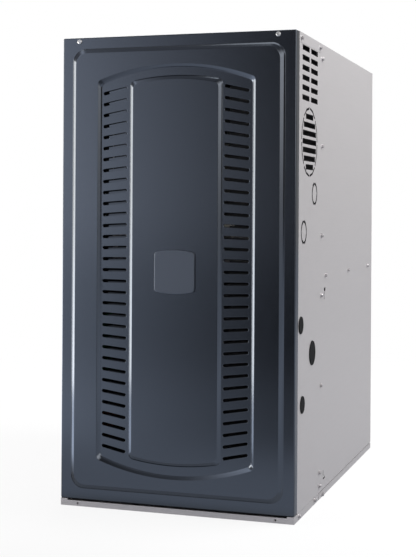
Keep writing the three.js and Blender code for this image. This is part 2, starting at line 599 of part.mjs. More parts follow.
// A quarter turn knob: a disc with a grip bar, and a shank through the access door into the bulkhead.
function doorKnob(side) {
  const x = side * KNOB.x;
  const face = BULKHEAD_Y - FIT - SHEET - FIT;
  const radius = KNOB.diameter / 2;
  const end = BULKHEAD_BACK + 4;
  const profile = [[0, face - KNOB.disc], [radius, face - KNOB.disc], [radius, face], [KNOB.shank / 2, face],
    [KNOB.shank / 2, end], [0, end]];
  const across = [x - radius + 1, x + radius - 1];
  const grip = roundedRect(across, [KNOB.z - KNOB.grip / 2, KNOB.z + KNOB.grip / 2], 2, 2);
  return join(
    turned('y', profile, 12, [x, 0, KNOB.z]),
    prism('y', grip, [face - KNOB.height, face - KNOB.disc + 1]),
  );
}

// ---- Heat exchanger ---------------------------------------------------------------------------------
const LAST_PASS = TUBE.first + 3 * TUBE.pitch;

// A path that keeps its own stations, so that bends get rings where they turn and straights get none.
class StationPath extends THREE.Curve {
  constructor(stations) {
    super();
    this.stations = stations;
  }

  getPoint(t) {
    const place = t * (this.stations.length - 1);
    const from = Math.min(Math.floor(place), this.stations.length - 2);
    return this.stations[from].clone().lerp(this.stations[from + 1], place - from);
  }

  getPointAt(u) {
    return this.getPoint(u);
  }

  getTangentAt(u) {
    const last = this.stations.length - 1;
    const at = Math.round(u * last);
    const before = this.stations[Math.max(at - 1, 0)];
    const after = this.stations[Math.min(at + 1, last)];
    const [into, out] = [new THREE.Vector3(), new THREE.Vector3()];
    into.subVectors(this.stations[at], before).normalize();
    out.subVectors(after, this.stations[at]).normalize();
    return into.add(out).normalize();
  }
}

// A round section swept through stations.
function swept(stations, radius, sides) {
  const ring = arc([0, 0], radius, 0, 2 * Math.PI, sides).slice(0, -1);
  const shape = new THREE.Shape(ring.map(([u, v]) => new THREE.Vector2(u, v)));
  const path = new StationPath(stations);
  return solid(new THREE.ExtrudeGeometry(shape, { steps: stations.length - 1, extrudePath: path }));
}

// Four passes joined by three return bends, in one upright plane. Only the mouths are open to view, so the
// tube is bored there and solid further in.
function exchangerTube(x) {
  const bend = TUBE.pitch / 2;
  const quarter = Math.PI / 2;
  const turn = (y, pass, rear) => {
    const centre = [y, TUBE.first + pass * TUBE.pitch + bend];
    const to = rear ? quarter : -3 * quarter;
    return arc(centre, bend, -quarter, to, TUBE.steps);
  };
  const mouth = BULKHEAD_Y - TUBE.proud;
  const line = [[mouth, TUBE.first], ...turn(TUBE.rear, 0, true), ...turn(TUBE.front, 1, false),
    ...turn(TUBE.rear, 2, true), [mouth, LAST_PASS]];
  const stations = line.map(([y, z]) => new THREE.Vector3(x, y, z));
  const bore = TUBE.diameter / 2 - TUBE.wall;
  const mouths = [TUBE.first, LAST_PASS].map((z) => bar('y', bore, [mouth - 1, mouth + TUBE.bored], [x, z],
    TUBE.sides));
  return cut(swept(stations, TUBE.diameter / 2, TUBE.sides), ...mouths);
}

// A channel across the cabinet that the first passes rest on.
function tubeSupport() {
  const top = TUBE.first - TUBE.diameter / 2 - FIT;
  const y = [TUBE.rear - 50, TUBE.rear - 20];
  const z = [top - 16, top];
  return cut(
    box([-INSIDE, INSIDE], y, z),
    box([SHEET - INSIDE, INSIDE - SHEET], [y[0] - 1, y[1] - SHEET], [z[0] + SHEET, z[1] - SHEET]),
  );
}

// ---- Circulating blower -----------------------------------------------------------------------------
// The scroll's outline in (y, z): it opens out from the cut-off over the front and the bottom to the rear,
// and its throat rises to the deck.
function scroll(set, top) {
  const steps = 20;
  const sweep = 1.5 * Math.PI;
  const spiral = Array.from({ length: steps + 1 }, (_, i) => {
    const share = i / steps;
    const angle = Math.PI / 2 + share * sweep;
    const radius = BLOWER.cutoff + (BLOWER.end - BLOWER.cutoff) * share - set;
    return [BLOWER.y + radius * Math.cos(angle), BLOWER.z + radius * Math.sin(angle)];
  });
  return [[BLOWER.y + set, top], ...spiral.map(([y, z], i) => (i === 0 ? [y + set, z] : [y, z])),
    [BLOWER.y + BLOWER.end - set, top]];
}

function blowerHousing() {
  const half = BLOWER.half;
  const top = DECK_UNDER - FIT;
  const { flange, lip } = BLOWER;                    // the bell mouths stand out of the side plates by the lip
  const wide = (reach, from, to) => box([-reach, reach], [BLOWER.y, BLOWER.y + BLOWER.end], [from, to]);
  const shell = cut(
    join(prism('x', scroll(0, top), [-half, half]), wide(half + flange, top - flange, top - flange + SHEET)),
    prism('x', scroll(SHEET, top + 1), [SHEET - half, half - SHEET]),
    bar('x', BLOWER.inlet / 2, [-half - 1, half + 1], [BLOWER.y, BLOWER.z], BLOWER.sides),
  );
  const mouth = (side) => {
    const radius = BLOWER.inlet / 2;
    const ring = [[radius - 0.1, half - SHEET], [radius + 3, half - SHEET], [radius + 3, half + lip - 2],
      [radius + 9, half + lip + SHEET], [radius, half + lip - 1], [radius - 0.1, half - SHEET]];
    const turnedRing = turned('x', ring, BLOWER.sides, [0, BLOWER.y, BLOWER.z]);
    return side > 0 ? turnedRing : mirrored(turnedRing);
  };
  return join(shell, mouth(1), mouth(-1));
}

// The squirrel cage: forward curved blades between two end rings and a disc that carries the hub.
function blowerWheel() {
  const outer = WHEEL.diameter / 2;
  const inner = outer - WHEEL.blade;
  const half = WHEEL.length / 2;
  const at = [0, BLOWER.y, BLOWER.z];
  const steps = 2;
  const blade = (i) => {
    const foot = (i * 2 * Math.PI) / WHEEL.blades;
    const edge = Array.from({ length: steps + 1 }, (_, step) => {
      const share = step / steps;
      return [inner + 0.5 + (WHEEL.blade - 1.5) * share, foot + WHEEL.lean * share * share];
    });
    const back = edge.map(([radius, angle]) => [radius, angle + WHEEL.sheet / radius]).reverse();
    const outline = [...edge, ...back].map(([radius, angle]) => [
      BLOWER.y + radius * Math.cos(angle),
      BLOWER.z + radius * Math.sin(angle),
    ]);
    return prism('x', outline, [-half + 1, half - 1]);
  };
  const ring = (start) => turned('x', [[inner - 1, start], [outer, start], [outer, start + WHEEL.ring],
    [inner - 1, start + WHEEL.ring], [inner - 1, start]], WHEEL.blades, at);
  const hub = WHEEL.hub;
  const bore = SHAFT.diameter / 2 + SHAFT.clearance / 2;
  const disc = turned('x', [[bore, -WHEEL.hubLength], [hub, -WHEEL.hubLength], [hub, -WHEEL.disc],
    [outer - 4, -WHEEL.disc / 2], [outer - 4, WHEEL.disc / 2], [hub, WHEEL.disc], [bore, WHEEL.disc],
    [bore, -WHEEL.hubLength]], WHEEL.blades, at);
  const blades = Array.from({ length: WHEEL.blades }, (_, i) => blade(i));
  return join(disc, ring(-half), ring(half - WHEEL.ring), ...blades);
}

function blowerMotor() {
  const start = BLOWER_MOTOR.gap;
  const end = start + BLOWER_MOTOR.length;
  const radius = BLOWER_MOTOR.diameter / 2;
  const bore = SHAFT.diameter / 2 + SHAFT.clearance;
  const profile = [[bore, start], [18, start], [20, start + 5], [radius - 8, start + 7], [radius, start + 16],
    [radius, end - 14], [radius - 10, end - 4], [0, end], [0, start + 40], [bore, start + 40], [bore, start]];
  return turned('x', profile, BLOWER_MOTOR.sides, [0, BLOWER.y, BLOWER.z]);
}

const blowerShaft = () => bar('x', SHAFT.diameter / 2, [-20, BLOWER_MOTOR.gap + 38], [BLOWER.y, BLOWER.z], 12);

// A band round the motor with three arms, bent out over the bell mouth to the housing's side.
function motorMount() {
  const radius = BLOWER_MOTOR.diameter / 2 + FIT;
  const end = BLOWER_MOTOR.gap + BLOWER_MOTOR.length - 16;
  const reach = BLOWER.inlet / 2 + 24;
  const out = BLOWER.half + 13.5;
  const wide = BLOWER_MOTOR.arm / 2;
  const band = sleeve('x', radius + 2, radius, [end - BLOWER_MOTOR.band, end], [BLOWER.y, BLOWER.z],
    BLOWER_MOTOR.sides);
  const profile = [[end - 8, radius + 1], [end, radius + 1], [out, radius + 26], [out, reach], [BLOWER.half + FIT,
    reach], [BLOWER.half + FIT, reach - 10], [out - 3, reach - 10], [out - 3, radius + 27]];
  const arms = [0, 1, 2].map((i) => {
    const geometry = extruded('y', profile, [-wide, wide]).rotateX(Math.PI / 2 + (i * 2 * Math.PI) / 3);
    return solid(geometry.translate(0, BLOWER.y, BLOWER.z));
  });
  return join(band, ...arms);
}

// A rail under the deck. The housing's top flange slides in on its lip.
function blowerRail(side) {
  const flangeEnd = BLOWER.half + BLOWER.flange;
  const web = flangeEnd + FIT;
  const y = [BULKHEAD_BACK + 12, BLOWER.y + BLOWER.end + 20];
  const seat = DECK_UNDER - FIT - BLOWER.flange;
  const rail = join(
    box([web, web + SHEET], y, [seat - FIT - SHEET, DECK_UNDER - FIT]),
    box([flangeEnd - 8, web + SHEET], y, [seat - FIT - SHEET, seat - FIT]),
    box([web, web + 12], y, [DECK_UNDER - FIT - SHEET, DECK_UNDER - FIT]),
  );
  return side > 0 ? rail : mirrored(rail);
}

function capacitor() {
  const { diameter, length, y, z } = CAPACITOR;
  const x = -(BLOWER.half + FIT + diameter / 2);
  return join(
    bar('y', diameter / 2, [y, y + length], [x, z], 16),
    box([x - 7, x - 3], [y - 8, y], [z - 3, z + 3]),
    box([x + 3, x + 7], [y - 8, y], [z - 3, z + 3]),
  );
}

// ---- Burners and gas train --------------------------------------------------------------------------
const BOX_BACK = BULKHEAD_Y - TUBE.proud - FIT - 1;

// A tray open toward the vestibule panel, with a hole in its front for each orifice.
function burnerBox() {
  const { half, front, below, above } = BURNER_BOX;
  const z = [TUBE.first - below, TUBE.first + above];
  const shell = cut(
    box([-half, half], [front, BOX_BACK], z),
    box([SHEET - half, half - SHEET], [front + SHEET, BOX_BACK + 1], [z[0] + SHEET, z[1] - SHEET]),
  );
  const feet = [-1, 1].map((side) => box(side > 0 ? [half - 1, half + 12] : [-half - 12, 1 - half],
    [BOX_BACK - SHEET, BOX_BACK], [z[0] + 6, z[1] - 6]));
  const hole = MANIFOLD.spud / 2 + FIT + 0.6;
  const orifices = TUBE.columns.map((x) => bar('y', hole, [front - 1, front + SHEET + 1], [x, TUBE.first], 10));
  const switches = ROLLOUT.x.map((x) => bar('z', ROLLOUT.diameter / 2 - 4, [z[1] - SHEET - 1, z[1] + 1],
    [x, ROLLOUT.y], 10));
  return cut(join(shell, ...feet), ...orifices, ...switches);
}

// An inshot burner: a bell at the front, a throat and a flared head toward the tube.
function burner(x) {
  const front = BURNER_BOX.front + SHEET + 8;
  const back = front + BURNER.length;
  const wide = BURNER.diameter / 2;
  const throat = BURNER.throat / 2;
  const wall = 1;
  const outer = [[wide - 3, front], [throat, front + 22], [throat, front + 34], [wide, back - 12], [wide, back]];
  const inner = [[wide - wall, back], [throat - wall, front + 30], [wide - 3 - wall, front]];
  const body = turned('y', [...outer, ...inner, outer[0]], 10, [x, 0, TUBE.first]);
  const foot = box([x - 3, x + 3], [front + 25, front + 31],
    [TUBE.first - BURNER_BOX.below + SHEET + FIT, TUBE.first - throat + 0.7 * wall]);
  return join(body, foot);
}

function gasManifold() {
  const radius = MANIFOLD.diameter / 2;
  const end = TUBE.columns.at(-1) + 22;
  const centre = (VALVE.x[0] + VALVE.x[1]) / 2;
  const spuds = TUBE.columns.map((x) => bar('y', MANIFOLD.spud / 2, [MANIFOLD.y, BURNER_BOX.front + SHEET + 3],
    [x, TUBE.first], 8));
  const stub = bar('z', radius, [TUBE.first, VALVE.z[0] - FIT], [centre, MANIFOLD.y], 12);
  return join(bar('x', radius, [-end, end], [MANIFOLD.y, TUBE.first], 12), stub, ...spuds);
}

function gasValve() {
  const { x, y, z, inlet, inletReach, pivot } = VALVE;
  const at = [KNOCKOUTS[1].y, KNOCKOUTS[1].z];
  const body = prism('y', roundedRect(x, z, 7, 2), y);
  const boss = bar('x', inlet / 2, [x[1] - 1, x[1] + inletReach], at, 8);
  const bore = bar('x', VALVE.bore / 2, [x[1] + 2, x[1] + inletReach + 1], at, 12);
  const coil = prism('z', roundedRect([x[0] + 8, x[0] + 44], [y[0] + 8, y[1] - 8], 5, 2), [z[1] - 1, z[1] + 16]);
  const seat = bar('y', pivot.diameter / 2 + FIT, [y[0] - 1, y[0] + 8], [x[1] - pivot.inset, z[0] + pivot.rise], 10);
  return cut(join(body, boss, coil), bore, seat);
}

function gasValveLever() {
  const { x, y, z, pivot } = VALVE;
  const [px, pz] = [x[1] - pivot.inset, z[0] + pivot.rise];
  const pin = pivot.diameter / 2;
  const lever = pivot.lever / 2;
  const face = y[0] - FIT;
  return join(
    bar('y', pivot.head / 2, [face - 4, face], [px, pz], 16),
    bar('y', pin, [face - 1, face + 7], [px, pz], 10),
    prism('y', roundedRect([px - pin, px + pin], [pz - lever, pz + lever], 2, 2), [face - 9, face - 3]),
  );
}

const BOX_FLOOR = TUBE.first - BURNER_BOX.below + SHEET + FIT;

// A block with a flat tip that points toward the last burner.
function igniter() {
  const { set, y, width, height, tip } = IGNITER;
  const x = TUBE.columns.at(-1) + set;
  const side = x - width / 2;
  return join(
    box([side, x + width / 2], y, [BOX_FLOOR, BOX_FLOOR + height]),
    box([side - tip, side + 1], [y[1] - 2, y[1]], [BOX_FLOOR + height - 6, BOX_FLOOR + height - 2]),
  );
}

// A post with a rod that turns toward the first burner.
function flameSensor() {
  const { set, y, diameter, height, rod, reach } = FLAME_SENSOR;
  const x = TUBE.columns[0] - set;
  const top = BOX_FLOOR + height;
  return join(
    bar('z', diameter / 2, [BOX_FLOOR, top], [x, y], 10),
    bar('z', rod / 2, [top - 1, top + 8], [x, y], 8),
    bar('x', rod / 2, [x, x + reach], [y, top + 7], 8),
  );
}

const BOX_TOP = TUBE.first + BURNER_BOX.above;

// A disc thermostat on the burner box with a guide for its reset button.
function rolloutSwitch(x) {
  const z = BOX_TOP + FIT;
  const guide = ROLLOUT.button / 2 + FIT;
  const neck = ROLLOUT.neck / 2;
  const top = z + ROLLOUT.height;
  return turned('z', [[0, z], [ROLLOUT.diameter / 2, z], [ROLLOUT.diameter / 2, z + 2], [neck, z + 2],
    [neck, top], [guide, top], [guide, z + 3], [0, z + 3]], 16, [x, ROLLOUT.y, 0]);
}

function resetButton(x) {
  const z = BOX_TOP + FIT;
  const bottom = z + 3 + ROLLOUT.travel + FIT;
  return bar('z', ROLLOUT.button / 2, [bottom, z + ROLLOUT.height + 3], [x, ROLLOUT.y], 12);
}

// ---- Draft inducer ----------------------------------------------------------------------------------
const COLLECTOR_FRONT = BULKHEAD_Y - FIT - COLLECTOR.depth;
const SCROLL_BACK = COLLECTOR_FRONT - FIT;
const SCROLL_FRONT = SCROLL_BACK - INDUCER.depth;

function collectorBox() {
  const { half, below, above } = COLLECTOR;
  const back = BULKHEAD_Y - FIT;
  const z = [LAST_PASS - below, LAST_PASS + above];
  const shell = cut(
    box([-half, half], [COLLECTOR_FRONT, back], z),
    box([SHEET - half, half - SHEET], [COLLECTOR_FRONT + SHEET, back + 1], [z[0] + SHEET, z[1] - SHEET]),
  );
  const rim = cut(
    box([-half - 9, half + 9], [back - SHEET, back], [z[0] - 9, z[1] + 9]),
    box([1 - half, half - 1], [back - SHEET - 1, back + 1], [z[0] + 1, z[1] - 1]),
  );
  const eye = bar('y', INDUCER.eye / 2, [COLLECTOR_FRONT - 1, COLLECTOR_FRONT + SHEET + 1],
    [INDUCER.x, INDUCER.z], 16);
  return cut(join(shell, rim), eye);
}

// The inducer's scroll in (x, z). Its throat rises to the flue on the +X side.
function inducerScroll(set, top) {
  const steps = 15;
  const spiral = Array.from({ length: steps + 1 }, (_, i) => {
    const share = i / steps;
    const angle = Math.PI / 2 + share * 1.5 * Math.PI;
    const radius = INDUCER.cutoff + (INDUCER.end - INDUCER.cutoff) * share - set;
    return [INDUCER.x + radius * Math.cos(angle), INDUCER.z + radius * Math.sin(angle)];
  });
  const inner = INDUCER.x + INDUCER.end - INDUCER.throat;
  return [[inner + set, top], [inner + set, spiral[0][1]], ...spiral, [INDUCER.x + INDUCER.end - set, top]];
}

function inducerHousing() {
  const { wall } = INDUCER;
  const top = INDUCER.z + INDUCER.rise;
  const outlet = [FLUE.diameter / 2, FLUE.diameter / 2 + 3];
  const inside = INDUCER.throat / 2 - wall;
  const collar = turned('z', [[outlet[0] + FIT, top - 1], [outlet[1], top - 1], [outlet[1], top + FLUE.collar],
    [outlet[0] + FIT, top + FLUE.collar], [outlet[0] + FIT, top - 1]], FLUE.sides, [FLUE.x, FLUE.y, 0]);
  const plate = cut(
    box([FLUE.x - outlet[1] - 2, FLUE.x + outlet[1] + 2], [FLUE.y - outlet[1] - 2, SCROLL_BACK], [top - 3, top]),
    box([FLUE.x - inside, FLUE.x + inside], [SCROLL_FRONT + wall, SCROLL_BACK - wall], [top - 4, top + 1]),
  );
  const body = cut(
    prism('y', inducerScroll(0, top), [SCROLL_FRONT, SCROLL_BACK]),
    prism('y', inducerScroll(wall, top + 1), [SCROLL_FRONT + wall, SCROLL_BACK - wall]),
    bar('y', INDUCER.eye / 2, [SCROLL_BACK - wall - 1, SCROLL_BACK + 1], [INDUCER.x, INDUCER.z], 16),
    bar('y', INDUCER_MOTOR.shaft / 2 + 1, [SCROLL_FRONT - 1, SCROLL_FRONT + wall + 1],
      [INDUCER.x, INDUCER.z], 12),
  );
  return join(body, plate, collar);
}

// Straight blades on a back plate with a hub and its shaft.
function inducerWheel() {
  const { x, z, wheel, hub, blades } = INDUCER;
  const front = SCROLL_FRONT + 6;
  const back = SCROLL_BACK - 8;
  const plate = bar('y', wheel / 2, [front, front + 1.5], [x, z], 20);
  const core = bar('y', hub, [front, back - 4], [x, z], 12);
  const shaft = bar('y', INDUCER_MOTOR.shaft / 2, [SCROLL_FRONT - 20, front + 2], [x, z], 12);
  const vanes = Array.from({ length: blades }, (_, i) => {
    const vane = new THREE.BoxGeometry(wheel / 2 - hub, back - front - 1, 1.2);
    vane.translate((wheel / 2 + hub) / 2 - 1, (back + front + 1) / 2, 0);
    return solid(vane.rotateY((i * 2 * Math.PI) / blades).translate(x, 0, z));
  });
  return join(plate, core, shaft, ...vanes);
}

function inducerMotor() {
  const { diameter, length, shaft } = INDUCER_MOTOR;
  const back = SCROLL_FRONT - FIT;
  const front = back - length;
  const radius = diameter / 2;
  const bore = shaft / 2 + FIT;
  const profile = [[0, front], [radius - 12, front], [radius - 4, front + 8], [radius - 4, back - 18],
    [radius, back - 16], [radius, back], [bore, back], [bore, back - 22], [0, back - 22]];
  return turned('y', profile, 16, [INDUCER.x, 0, INDUCER.z]);
}

function fluePipe() {
  const bottom = INDUCER.z + INDUCER.rise + 1;
  const outer = FLUE.diameter / 2;
  return sleeve('z', outer, outer - FLUE.wall, [bottom, HEIGHT], [FLUE.x, FLUE.y], FLUE.sides);
}

// ---- Controls ---------------------------------------------------------------------------------------
function pressureSwitch() {
  const { x, z, diameter, depth, nipple } = PRESSURE_SWITCH;
  const back = BULKHEAD_Y - FIT;
  const radius = diameter / 2;
  return join(
    turned('y', [[0, back - depth], [radius * 0.7, back - depth], [radius, back - depth + 8],
      [radius, back - 4], [radius * 0.8, back], [0, back]], 20, [x, 0, z]),
    bar('y', 2.5, [back - depth - nipple, back - depth + 1], [x, z], 8),
  );
}

// The hose from the switch's nipple to the nipple on the collector box's side.
function pressureHose() {
  const { x, z, depth, nipple } = PRESSURE_SWITCH;
  const start = BULKHEAD_Y - FIT - depth - nipple - FIT;
  const end = -(COLLECTOR.half + FIT);
  const level = LAST_PASS + 20;
  const route = [[x, start, z], [x, start - 14, z], [x, start - 20, z + 6], [x, start - 20, level - 10],
    [x + 5, start - 17, level], [x + 14, start - 12, level], [end, start - 12, level]];
  const stations = route.map((at) => new THREE.Vector3(...at));
  return swept(stations, HOSE.diameter / 2, HOSE.sides);
}

function limitSwitch() {
  const { x, z, size, probe, reach } = LIMIT_SWITCH;
  const back = BULKHEAD_Y - FIT;
  return join(
    prism('y', roundedRect([x - size[0] / 2, x + size[0] / 2], [z - size[2] / 2, z + size[2] / 2], 3, 2),
      [back - size[1], back]),
    bar('y', probe / 2, [back - 1, BULKHEAD_BACK + reach], [x, z], 10),
  );
}

// A board on a bent bracket against the left wall, with its relays, transformer tap block and fuse.
function controlBoard() {
  const { y, z, x, thickness } = CONTROL_BOARD;
  const face = x + thickness;
  const on = (ys, zs, height) => box([face - 0.2, face + height],
    [y[0] + ys[0], y[0] + ys[1]], [z[0] + zs[0], z[0] + zs[1]]);
  const stands = [[8, 8], [108, 8], [8, 132], [108, 132]].map(([dy, dz]) => bar('x', 3,
    [FIT - WALL, x + 0.2], [y[0] + dy, z[0] + dz], 8));
  return join(
    box([x, face], y, z),
    on([12, 32], [14, 40], 18),
    on([38, 58], [14, 40], 18),
    on([64, 84], [14, 40], 18),
    on([16, 100], [112, 124], 9),
    on([20, 44], [60, 84], 14),
    on([60, 98], [56, 64], 6),
    on([60, 98], [78, 92], 10),
    ...stands,
  );
}

function transformer() {
  const { x, y, z } = TRANSFORMER;
  const middle = (z[0] + z[1]) / 2;
  return join(
    box([x[0] + 4, x[1]], [y[0] + 12, y[1] - 12], z),
    prism('y', roundedRect([x[0] + 12, x[1] - 8], [middle - 20, middle + 20], 5, 2), y),
    box([FIT - WALL, x[0] + 6], [y[0] + 12, y[1] - 12], [z[0] - 8, z[1] + 8]),
  );
}

// The wiring box stands behind the round hole that its cable comes through.
function junctionBox() {
  const { x, y, z, hole } = JUNCTION;
  const shell = cut(
    box([x, INSIDE], y, z),
    box([x + SHEET, INSIDE - SHEET], [y[0] - 1, y[1] - SHEET], [z[0] + SHEET, z[1] - SHEET]),
  );
  return cut(shell, bar('x', hole / 2, [INSIDE - SHEET - 1, INSIDE + 1], [PLUGS[0].y, PLUGS[0].z], 16));
}

// The switch behind the bulkhead that the closed access door holds pressed.
function doorSwitch() {
  const { x, z, body } = INTERLOCK;
  const front = BULKHEAD_BACK + FIT;
  const guide = bar('y', INTERLOCK.plunger / 2 + FIT, [front - 1, front + 14], [x, z], 10);
  return cut(box([x - body[0] / 2, x + body[0] / 2], [front, front + body[1]], [z - body[2] / 2, z + body[2] / 2]),
    guide);
}

function switchPlunger() {
  const { x, z, plunger, travel } = INTERLOCK;
  return bar('y', plunger / 2, [BULKHEAD_Y - FIT + 0.1, BULKHEAD_BACK + FIT + 14 - travel - 1], [x, z], 10);
}

// ---- Assembly ---------------------------------------------------------------------------------------
place('front_base_pan', frontBasePan(), GALVANISED);
place('rear_base_pan', rearBasePan(), GALVANISED);
place('side_panel_right', sidePanel(true), GALVANISED);
place('side_panel_left', mirrored(sidePanel(false)), GALVANISED);
place('back_panel', backPanel(), GALVANISED);
place('top_filler', topFiller(), GALVANISED);
PLUGS.forEach((plug, i) => place(`hole_plug_${i + 1}`, holePlug(plug), BLACK_PLASTIC));

place('vestibule_panel', vestibulePanel(), GALVANISED);
place('blower_deck', blowerDeck(), GALVANISED);
place('lower_bulkhead', lowerBulkhead(), GALVANISED);
place('blower_door', blowerDoor(), GALVANISED);
place('access_knob_left', doorKnob(-1), BLACK_PLASTIC);
place('access_knob_right', doorKnob(1), BLACK_PLASTIC);

TUBE.columns.forEach((x, i) => place(`exchanger_tube_${i + 1}`, exchangerTube(x), ALUMINISED));
place('tube_support', tubeSupport(), ALUMINISED);

place('blower_housing', blowerHousing(), GALVANISED);
place('blower_wheel', blowerWheel(), GALVANISED);
place('blower_shaft', blowerShaft(), BRIGHT);
place('blower_motor', blowerMotor(), BLACK_STEEL);
place('motor_mount', motorMount(), GALVANISED);
place('blower_rail_left', blowerRail(-1), GALVANISED);
place('blower_rail_right', blowerRail(1), GALVANISED);
place('capacitor', capacitor(), BRIGHT);

place('burner_box', burnerBox(), GALVANISED);
TUBE.columns.forEach((x, i) => place(`burner_${i + 1}`, burner(x), ALUMINISED));
place('gas_manifold', gasManifold(), BLACK_STEEL);
place('gas_valve', gasValve(), ALUMINISED);
place('gas_valve_lever', gasValveLever(), RED_PLASTIC);
place('igniter', igniter(), CERAMIC);
place('flame_sensor', flameSensor(), CERAMIC);
ROLLOUT.x.forEach((x, i) => {
  place(`rollout_switch_${i + 1}`, rolloutSwitch(x), BLACK_PLASTIC);
  place(`reset_button_${i + 1}`, resetButton(x), RED_PLASTIC);
});

place('collector_box', collectorBox(), ALUMINISED);
place('inducer_housing', inducerHousing(), BLACK_STEEL);
place('inducer_wheel', inducerWheel(), ALUMINISED);
place('inducer_motor', inducerMotor(), BLACK_STEEL);
place('flue_pipe', fluePipe(), GALVANISED);

place('pressure_switch', pressureSwitch(), BLACK_PLASTIC);
place('pressure_hose', pressureHose(), SILICONE);
place('limit_switch', limitSwitch(), BLACK_PLASTIC);
place('control_board', controlBoard(), BOARD);
place('transformer', transformer(), COPPER);
place('junction_box', junctionBox(), GALVANISED);
place('door_switch', doorSwitch(), BLACK_PLASTIC);
place('switch_plunger', switchPlunger(), RED_PLASTIC);

place('front_door', frontDoor(), PAINT);
place('badge_plate', badge(), PLATE_PAINT);
place('door_screw_left', doorScrew(-1), BRIGHT);
place('door_screw_right', doorScrew(1), BRIGHT);

// The badge stands out furthest at the front, so the depth runs from its face to the cabinet's back.
const BADGE_FACE = PAD_TOP - FIT - BADGE.thickness;
furnace.position.y = -(BADGE_FACE + DEPTH) / 2;

export default furnace;
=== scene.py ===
"""Forced air gas furnace: the looks of its cabinet, louvred door and works, around a fixed frame."""

from math import asin, cos, pi, radians, sin

import bmesh
import bpy
from bpy.props import FloatProperty, FloatVectorProperty, IntProperty, PointerProperty
from mathutils import Matrix, Vector


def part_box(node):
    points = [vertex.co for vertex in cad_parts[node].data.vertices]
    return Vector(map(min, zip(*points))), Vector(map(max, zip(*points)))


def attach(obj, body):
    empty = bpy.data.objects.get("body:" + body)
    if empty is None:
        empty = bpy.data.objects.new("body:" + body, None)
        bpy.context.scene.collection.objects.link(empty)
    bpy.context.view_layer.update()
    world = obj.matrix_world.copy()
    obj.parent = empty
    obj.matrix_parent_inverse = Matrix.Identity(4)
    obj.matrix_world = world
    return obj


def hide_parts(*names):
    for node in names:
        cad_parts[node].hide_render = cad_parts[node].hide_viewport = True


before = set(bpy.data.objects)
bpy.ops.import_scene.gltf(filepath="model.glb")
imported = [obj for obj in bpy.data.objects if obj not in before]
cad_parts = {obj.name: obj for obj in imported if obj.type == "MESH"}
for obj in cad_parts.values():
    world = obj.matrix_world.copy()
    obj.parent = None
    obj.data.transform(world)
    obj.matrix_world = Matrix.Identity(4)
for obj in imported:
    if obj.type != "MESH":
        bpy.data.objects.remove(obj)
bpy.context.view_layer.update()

bl_info = {
    "name": "Gas furnace looks",
    "version": (1, 0, 0),
    "blender": (4, 5, 0),
    "location": "3D View > Sidebar > Furnace",
    "description": "Enamel, galvanised steel and small hardware for an upright gas furnace",
    "category": "Object",
}

MM = 0.001
IMAGE_SIZE = (416, 557)
DOOR_LOW, DOOR_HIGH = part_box("front_door")
SIDE_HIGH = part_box("side_panel_right")[1]
HALF_WIDTH = DOOR_HIGH.x
TOP = SIDE_HIGH.z
BACK = SIDE_HIGH.y
BOTTOM = DOOR_LOW.z
RETURN_DEPTH = 20 * MM
MARGIN = DOOR_HIGH.y - RETURN_DEPTH        # the plane of the door's flat margin

# The two small knock-outs, in millimetres: y and z of the middle, and the outer radius of the slots. y is
# measured back from the door's margin.
KNOCKOUTS = ((143, 578.5, 20.5), (59.5, 508.8, 21))
KNOCKOUT_SLOT = 3.2
KNOCKOUT_BAND = 1.2                        # how far the painted shade goes past the slots, inward and outward
KNOCKOUT_TIE = 4                           # half the width left light at the ring's top and foot


# ---- Shader building --------------------------------------------------------------------------------
class Value:
    """A number that comes out of a socket. Arithmetic on it adds Math nodes."""

    def __init__(self, shader, socket):
        self.shader = shader
        self.socket = socket

    def _math(self, operation, first, second):
        return self.shader.add("Math", {"operation": operation}, {0: first, 1: second})

    def __add__(self, other):
        return self._math("ADD", self, other)

    __radd__ = __add__

    def __sub__(self, other):
        return self._math("SUBTRACT", self, other)

    def __rsub__(self, other):
        return self._math("SUBTRACT", other, self)

    def __mul__(self, other):
        return self._math("MULTIPLY", self, other)

    __rmul__ = __mul__

    def __truediv__(self, other):
        return self._math("DIVIDE", self, other)

    def clamped(self):
        return self.shader.add("Clamp", {}, {"Value": self})

    def above(self, edge, width):
        """0 below the edge, 1 above it, with a soft step of this width."""
        settings = {"interpolation_type": "SMOOTHSTEP"}
        return self.shader.add("MapRange", settings, {"Value": self, "From Min": edge - width / 2,
                                                      "From Max": edge + width / 2})


